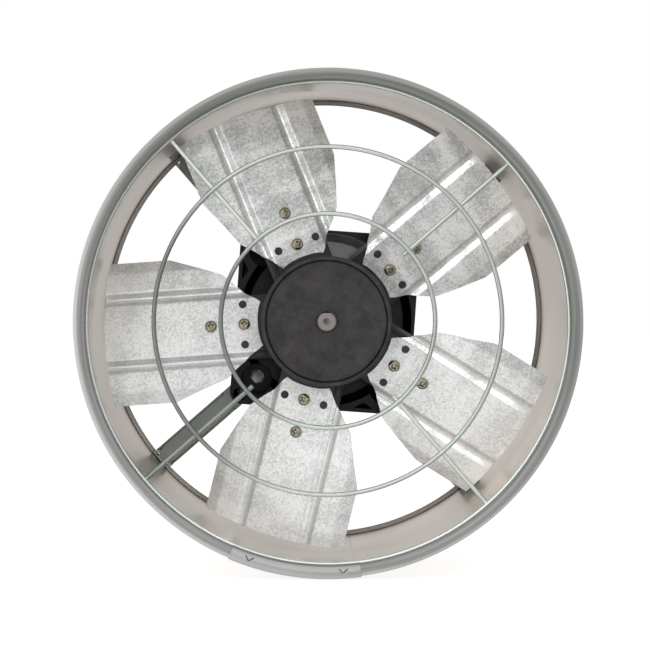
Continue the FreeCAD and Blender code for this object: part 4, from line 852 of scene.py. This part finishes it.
def arm_mesh():
    """A shallow channel with rounded flanges, whose end is bent forward into the foot, with a
    relief hole at each side of the bend."""
    corner = FOOT_FACE - ARM_BEND
    path = line((ARM_INNER, ARM_FRONT), (corner, ARM_FRONT), 90)
    path += arc(corner, ARM_FRONT - ARM_BEND, ARM_BEND, 90, 0, 9)
    path += line((FOOT_FACE, ARM_FRONT - ARM_BEND - 1), (FOOT_FACE, FOOT_FRONT), 16)
    path = np.array(path + [(FOOT_FACE, FOOT_FRONT)])
    reach = path[:, 0]
    channel = smooth(*CHANNEL_START, reach) * (1 - smooth(*CHANNEL_END, reach))
    channel = np.where(path[:, 1] < ARM_FRONT - 0.01, 0, channel)
    share = np.linspace(-1, 1, 41)
    flat = share * ARM_HALF
    web = ARM_HALF - FLANGE_BEND
    quarter = FLANGE_BEND * math.pi / 2
    run = np.abs(share) * (web + quarter + FLANGE_DEPTH - FLANGE_BEND)
    turn = np.clip((run - web) / FLANGE_BEND, 0, math.pi / 2)
    down = np.clip(run - web - quarter, 0, None)
    folded = np.sign(share) * (np.minimum(run, web) + FLANGE_BEND * np.sin(turn))
    drop = FLANGE_BEND * (1 - np.cos(turn)) + down
    z = flat[None, :] * (1 - channel[:, None]) + folded[None, :] * channel[:, None]
    y = path[:, 1][:, None] + drop[None, :] * channel[:, None]
    foot = np.clip((ARM_FRONT - path[:, 1]) / 3, 0, 1)[:, None]
    x = reach[:, None] - foot * z**2 / (2 * FOOT_FACE)
    points = np.stack([x + 0 * z, y + 0 * z, z], -1)
    solid = thickened(mesh_from("arm", *grid(points)), ARM_SHEET, Vector(BEHIND_ARM) * MM)
    reliefs = [drum(RELIEF_RADIUS, *RELIEF_DEPTHS, (RELIEF_PLACE, side))
               for side in (RELIEF_SPREAD, -RELIEF_SPREAD)]
    solid = cut_away(solid, reliefs)
    tidy(solid)
    return solid


def thickened(mesh, thickness, toward):
    """The sheet with a thickness added on the side that faces a point."""
    work = bmesh.new()
    work.from_mesh(mesh)
    work.faces.ensure_lookup_table()
    face = work.faces[0]
    facing = face.normal.dot(toward - face.calc_center_median()) > 0
    work.free()
    item = added("sheet", mesh)
    modifier = item.modifiers.new("sheet", "SOLIDIFY")
    modifier.thickness = thickness * MM
    modifier.offset = 1 if facing else -1
    modifier.use_even_offset = True
    bpy.context.view_layer.update()
    evaluated = item.evaluated_get(bpy.context.evaluated_depsgraph_get())
    result = bpy.data.meshes.new_from_object(evaluated)
    bpy.data.objects.remove(item)
    return result


arm_shape = arm_mesh()
for number in range(4):
    arm_name = f"motor_bracket_{number + 1}"
    piece(arm_name, arm_shape.copy(), "arm_sheet", "frame", [f"motor_arm_{number + 1}"],
          about_axis(CROSS_ANGLE + 90 * number))


# The blades

BLADE_SHEET, BLADE_STAND = 1.0, 4.7
BLADE_HALF, TIP_CORNER, BLADE_TIP = 62.5, 177.2, 183.7
BLADE_ROOT, ROOT_HALF = 56.5, 19.0
GROOVE_DEPTH, GROOVE_ROUND, GROOVE_EASE = 2.6, 0.006, 0.07
EDGE_FALL, EDGE_EASE = 2.2, 0.08
BEHIND_BLADE, HOLE_DEPTHS = (120, 40, 0), (-12, 6)
PEG_HOLE, SCREW_HOLE = 3.3, 2.7
# Distances along a blade and its half width there
OUTLINE = ((53.2, 19.0), (56.5, 22.0), (65.0, 27.5), (84.0, 45.5), (127.0, 62.5), (200.0, 62.5))
PEG_PLACES = ((68.0, 17.6), (68.0, -17.6))
SCREW_RADII = (67.7, 95.3)


def soft_max(value, ease):
    """The value where it is over 0, and 0 elsewhere, with the corner eased."""
    return 0.5 * (value + np.sqrt(value * value + ease * ease))


def blade_surface(z):
    """Depth of a blade's front face: two pressed grooves and edge strips that fall back."""
    off = (np.abs(z) - GROOVE_MIDDLE) / GROOVE_HALF
    groove = GROOVE_DEPTH * soft_max(1 - np.sqrt(off * off + GROOVE_ROUND), GROOVE_EASE)
    strip = EDGE_FALL * soft_max((np.abs(z) - EDGE_STRIP) / (BLADE_HALF - EDGE_STRIP), EDGE_EASE)
    return -BLADE_STAND + groove + strip


def blade_mesh():
    """The sheet on a grid that follows its outline, thickened to the rear, with its holes."""
    tip_rise = BLADE_TIP - TIP_CORNER
    tip_radius = (BLADE_HALF**2 + tip_rise**2) / (2 * tip_rise)
    across = np.linspace(-1, 1, 181)
    tip = BLADE_TIP - (tip_radius - np.sqrt(tip_radius**2 - (across * BLADE_HALF) ** 2))
    root = np.sqrt(BLADE_ROOT**2 - (across * ROOT_HALF) ** 2)
    along = np.linspace(0, 1, 91) ** 1.15
    x = root[None, :] + (tip - root)[None, :] * along[:, None]
    half = np.interp(x, [place for place, _ in OUTLINE], [width for _, width in OUTLINE])
    z = across[None, :] * half
    points = np.stack([x, blade_surface(z), z], -1)
    sheet = mesh_from("blade", *grid(points, np.stack([x, z], -1)), sharp=60)
    solid = thickened(sheet, BLADE_SHEET, Vector(BEHIND_BLADE) * MM)
    holes = [drum(PEG_HOLE, *HOLE_DEPTHS, place) for place in PEG_PLACES]
    holes += [drum(SCREW_HOLE, *HOLE_DEPTHS, (place, 0)) for place in SCREW_RADII]
    solid = cut_away(solid, holes)
    tidy(solid, sharp=40)
    return solid


blade_shape = blade_mesh()
for number in range(5):
    piece(f"fan_blade_{number + 1}", blade_shape.copy(), "blade_sheet", "rotor", [f"blade_{number + 1}"],
          blade_frame(number))


# Screws, bolts and nuts

THREAD_PITCH, THREAD_STEP, THREAD_DEPTH, THREAD_START = 0.8, 0.2, 0.30, 0.3
SCREW_COLUMNS, HEX_COLUMNS, COUNTERSINK = 64, 72, 0.4


def threaded(radius, start, end, columns):
    """Rows of a threaded shank along Y: radii and depths for every column."""
    rows = np.arange(start, end, THREAD_STEP)
    turn = np.linspace(0, 1, columns, endpoint=False)
    phase = (rows[:, None] / THREAD_PITCH - turn[None, :]) % 1
    ridge = 1 - np.abs(2 * phase - 1)
    fade = smooth(start, start + 0.6, rows) * (1 - smooth(end - 0.9, end - 0.2, rows))
    radii = radius - THREAD_DEPTH * (1 - ridge * fade[:, None])
    return radii, np.repeat(rows[:, None], columns, 1)


def turned_rows(name, radii, depths):
    """A closed solid from rows of radii and depths about Y, each row a ring of columns."""
    columns = radii.shape[1]
    angles = np.linspace(0, 2 * math.pi, columns, endpoint=False)
    points = np.stack([radii * np.cos(angles), depths, radii * np.sin(angles)], -1)
    return mesh_from(name, *grid(points, wrap_columns=True))


def pan_head_screw(radius, head, height, length):
    """A cross-recessed pan head screw. Its head stands in front of y = 0. The head's curve, its
    recess and its underside are in shares of the head's radius and height."""
    whole = np.ones((1, SCREW_COLUMNS))
    ring = np.concatenate([[0], np.linspace(0.04, 0.985, 26), [1]]) * head
    radii = ring[:, None] * whole
    crown = height * (0.30 + 0.70 * np.sqrt(np.clip(1 - (ring / head) ** 4, 0, 1)))
    angles = np.linspace(0, 2 * math.pi, SCREW_COLUMNS, endpoint=False)
    x, z = np.abs(radii * np.cos(angles)), np.abs(radii * np.sin(angles))

    def slot(long, wide):
        flank = 1 - smooth(0.10 * head, 0.17 * head, wide)
        run = 1 - smooth(0.30 * head, 0.58 * head, long)
        return flank * run

    recess = 0.62 * height * np.maximum(slot(x, z), slot(z, x))
    depths = recess - crown[:, None]
    side = np.array([[head, -0.25 * height], [head, -0.04 * height], [0.97 * head, 0], [radius, 0]])
    thread_radii, thread_depths = threaded(radius, THREAD_START, length, SCREW_COLUMNS)
    radii = np.vstack([radii, side[:, :1] * whole, thread_radii, whole * 0])
    depths = np.vstack([depths, side[:, 1:] * whole, thread_depths, whole * length])
    return turned_rows("screw", radii, depths)


def hex_rows(flats, low, high, both=True):
    """Rows of a hexagon with its corners turned off at one end or both."""
    angles = np.linspace(0, 2 * math.pi, HEX_COLUMNS, endpoint=False) + math.pi / 3
    edge = flats / 2 / np.cos(angles % (math.pi / 3) - math.pi / 6)
    flat = flats / 2 * 0.96
    off = (edge - flat) * math.tan(math.radians(30))
    whole = np.ones(HEX_COLUMNS)
    radii, depths = [whole * flat, edge], [whole * low, low + off]
    radii += [edge, whole * flat] if both else [edge]
    depths += [high - off, whole * high] if both else [whole * high]
    return np.array(radii), np.array(depths)


def hex_bolt(radius, flats, height, length):
    """A hexagon head bolt. Its head, with a shallow dish, stands in front of y = 0."""
    radii, depths = hex_rows(flats, -height, 0, both=False)
    whole = np.ones((1, HEX_COLUMNS))
    thread_radii, thread_depths = threaded(radius, THREAD_START, length, HEX_COLUMNS)
    radii = np.vstack([whole * 0, whole * flats * 0.36, radii, whole * radius, thread_radii, whole * 0])
    top = [whole * (0.25 - height), whole * (0.2 - height)]
    depths = np.vstack([*top, depths, whole * 0, thread_depths, whole * length])
    return turned_rows("bolt", radii, depths)


def hex_nut(bore, flats, height):
    """A hexagon nut from y = 0 to its height, with a countersink at each end of its bore."""
    radii, depths = hex_rows(flats, 0, height)
    whole = np.ones((1, HEX_COLUMNS))
    mouth = bore + COUNTERSINK
    inner_radii = [whole * radius for radius in (mouth, bore, bore, mouth)]
    inner_depths = [whole * depth for depth in (height, height - COUNTERSINK, COUNTERSINK, 0)]
    radii = np.vstack([radii, *inner_radii, radii[:1]])
    depths = np.vstack([depths, *inner_depths, depths[:1]])
    return turned_rows("nut", radii, depths)


def flat_washer(bore, outer, height):
    """A washer from y = 0 to its height, more rounded at the outer edge of its front."""
    profile = [(bore, 0.1), (bore + 0.1, 0), (outer - 0.3, 0), (outer, 0.3), (outer, height - 0.1),
               (outer - 0.1, height), (bore + 0.1, height), (bore, height - 0.1)]
    return revolved("washer", profile, np.arange(0, 360, 7.5), closed=True)


POCKET_FLOOR, REAR_FACE = 146.0, 155.5
CORNER_RADIUS, BOLT_RADIUS = 96.0, 77.0
LUG_GAP, LUG_THICKNESS = 0.02, 3.5
SCREW_OVER, BOLT_OVER = 6.0, 8.0
# Shank radius, head size and head height, or bore radius, size and height
M5_SCREW, M5_NUT = (2.5, 4.9, 3.2), (2.52, 8.0, 4.0)
M6_BOLT, M6_NUT, M6_WASHER = (3.0, 10.0, 4.0), (3.02, 10.0, 5.0), (3.05, 6.2, 1.6)
LUG_REAR = -BLADE_STAND + BLADE_SHEET + LUG_GAP + LUG_THICKNESS
BOLT_SEAT = POCKET_FLOOR - M6_WASHER[2]
blade_spots = [(index, place) for index in range(5) for place in SCREW_RADII]


def blade_place(index, along, depth, turn=0):
    """A place on a blade's middle line, for a fastener turned on its own axis."""
    offset = Matrix.Translation(Vector((along, depth, 0)) * MM)
    return blade_frame(index) @ offset @ Matrix.Rotation(math.radians(turn), 4, "Y")


def corner_place(arm, radius, depth):
    """A place in front of an arm, at a distance from the fan's axis."""
    offset = Matrix.Translation(Vector((radius, depth, 0)) * MM)
    return about_axis(CROSS_ANGLE + 90 * arm) @ offset


blade_screw = pan_head_screw(*M5_SCREW, LUG_REAR + BLADE_STAND + SCREW_OVER)
m5_nut = hex_nut(*M5_NUT)
# Every screw stopped at a turn of its own
blade_turns = [(37 * step * step + 11 * step) % 90 for step in range(len(blade_spots))]
places = [blade_place(index, place, -BLADE_STAND, turn)
          for (index, place), turn in zip(blade_spots, blade_turns)]
copies("blade_screw_set", blade_screw, places, "yellow_zinc", "rotor", "blade_screws")
places = [blade_place(index, place, LUG_REAR) for index, place in blade_spots]
copies("blade_nut_set", m5_nut, places, "zinc_fasteners", "rotor", "blade_nuts")

corner_screw = pan_head_screw(*M5_SCREW, REAR_FACE - POCKET_FLOOR + SCREW_OVER)
through_bolt = hex_bolt(*M6_BOLT, REAR_FACE - BOLT_SEAT + BOLT_OVER)
HOUSING_SETS = (
    # piece, mesh, radius, depth, CAD node
    ("corner_screw_set", corner_screw, CORNER_RADIUS, POCKET_FLOOR, "corner_screws"),
    ("corner_nut_set", m5_nut, CORNER_RADIUS, REAR_FACE, "corner_nuts"),
    ("bolt_set", through_bolt, BOLT_RADIUS, BOLT_SEAT, "through_bolts"),
    ("bolt_washer_set", flat_washer(*M6_WASHER), BOLT_RADIUS, BOLT_SEAT, "through_washers"),
    ("bolt_nut_set", hex_nut(*M6_NUT), BOLT_RADIUS, REAR_FACE, "through_nuts"),
)
for set_name, shape, radius, depth, node in HOUSING_SETS:
    places = [corner_place(arm, radius, depth) for arm in range(4)]
    copies(set_name, shape, places, "zinc_fasteners", "frame", node)


# The studio

LOBES = (
    # azimuth from the fan to the light (0 is towards the camera, + to the right), elevation,
    # angle inside which it is full, angle at which it ends, radiance
    (6.5, 5.5, 4.5, 9.0, 1.7),
    (-4.5, -9.5, 5.0, 9.0, -0.95),
    (-8.0, -0.5, 4.5, 8.0, -0.6),
    (7.5, -8.5, 3.0, 7.0, 0.15),
    (-75.0, 5.0, 20.0, 85.0, 0.26),
    (-55.0, -40.0, 15.0, 60.0, 0.14),
    (0.0, 50.0, 20.0, 60.0, 0.04),
    (45.0, -30.0, 15.0, 50.0, -0.50),
    (180.0, 0.0, 30.0, 80.0, -0.26),
)
AMBIENT = 1.02
FLOOR_HALF, FLOOR_GAP, FLOOR_GLOW = 6000.0, 0.02, 0.75
SENSOR, LENS, FAR_LIMIT = 36.0, 91.883, 100.0
CAMERA_PLACE, FRAME_SHIFT = (-0.0325, -1.305, 0.0298), (0.0590, -0.0619)


def studio_light():
    """A plain bright room: white to the camera, with lighter and darker parts round the fan."""
    world = bpy.data.worlds.new("studio")
    bpy.context.scene.world = world
    world.use_nodes = True
    graph = Graph(world.node_tree)
    direction = graph.node("TexCoord").outputs["Generated"]
    total = AMBIENT
    for azimuth, elevation, full, end, radiance in LOBES:
        turn, lift = math.radians(azimuth), math.radians(elevation)
        axis = (math.sin(turn) * math.cos(lift), -math.cos(turn) * math.cos(lift), math.sin(lift))
        facing = graph.vector("DOT_PRODUCT", direction, axis, output="Value")
        low, high = math.cos(math.radians(end)), math.cos(math.radians(full))
        inputs = {0: facing, 1: low, 2: high, 3: 0.0, 4: radiance}
        share = graph.node("MapRange", inputs, interpolation_type="SMOOTHSTEP").outputs[0]
        total = graph.maths("ADD", share, total)
    seen = graph.node("LightPath").outputs["Is Camera Ray"]
    strength = graph.node("Mix", {0: seen, 2: total, 3: 1.0}, data_type="FLOAT").outputs[0]
    background = graph.node("Background", {"Color": (1, 1, 1, 1), "Strength": strength})
    graph.node("OutputWorld", {"Surface": background.outputs[0]})


def floor_white(graph):
    """Pale paint with a faint speckle, lit enough to read as white."""
    speck = graph.noise(graph.place(), 40.0, 4.0, 0.6)
    return {
        "Base Color": graph.tint((0.35, 0.35, 0.35), speck, 0.985, 1.015),
        "Roughness": 0.8,
        "Emission Color": (1, 1, 1, 1),
        "Emission Strength": FLOOR_GLOW,
    }


def studio_floor():
    """A wide floor just under the fan, which the fan neither mirrors nor gets light from."""
    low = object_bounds()[0][2] / MM - FLOOR_GAP
    corners = [(-1, -1), (1, -1), (1, 1), (-1, 1)]
    vertices = [(x * FLOOR_HALF, y * FLOOR_HALF, low) for x, y in corners]
    floor = added("floor", mesh_from("floor", vertices, [(0, 1, 2, 3)]))
    floor.data.materials.append(material("floor_white", floor_white))
    floor.visible_glossy = False
    floor.visible_diffuse = False


def studio_camera():
    """A long lens in front of the guard, square to it, a little left of the axis and above it."""
    data = bpy.data.cameras.new("camera")
    data.sensor_width = SENSOR
    data.lens = LENS
    data.shift_x, data.shift_y = FRAME_SHIFT
    data.clip_end = FAR_LIMIT
    camera = added("camera", data)
    camera.location = CAMERA_PLACE
    camera.rotation_euler = (math.radians(90), 0, 0)
    bpy.context.scene.camera = camera


studio_light()
studio_floor()
studio_camera()
bpy.context.scene.view_settings.view_transform = "Standard"
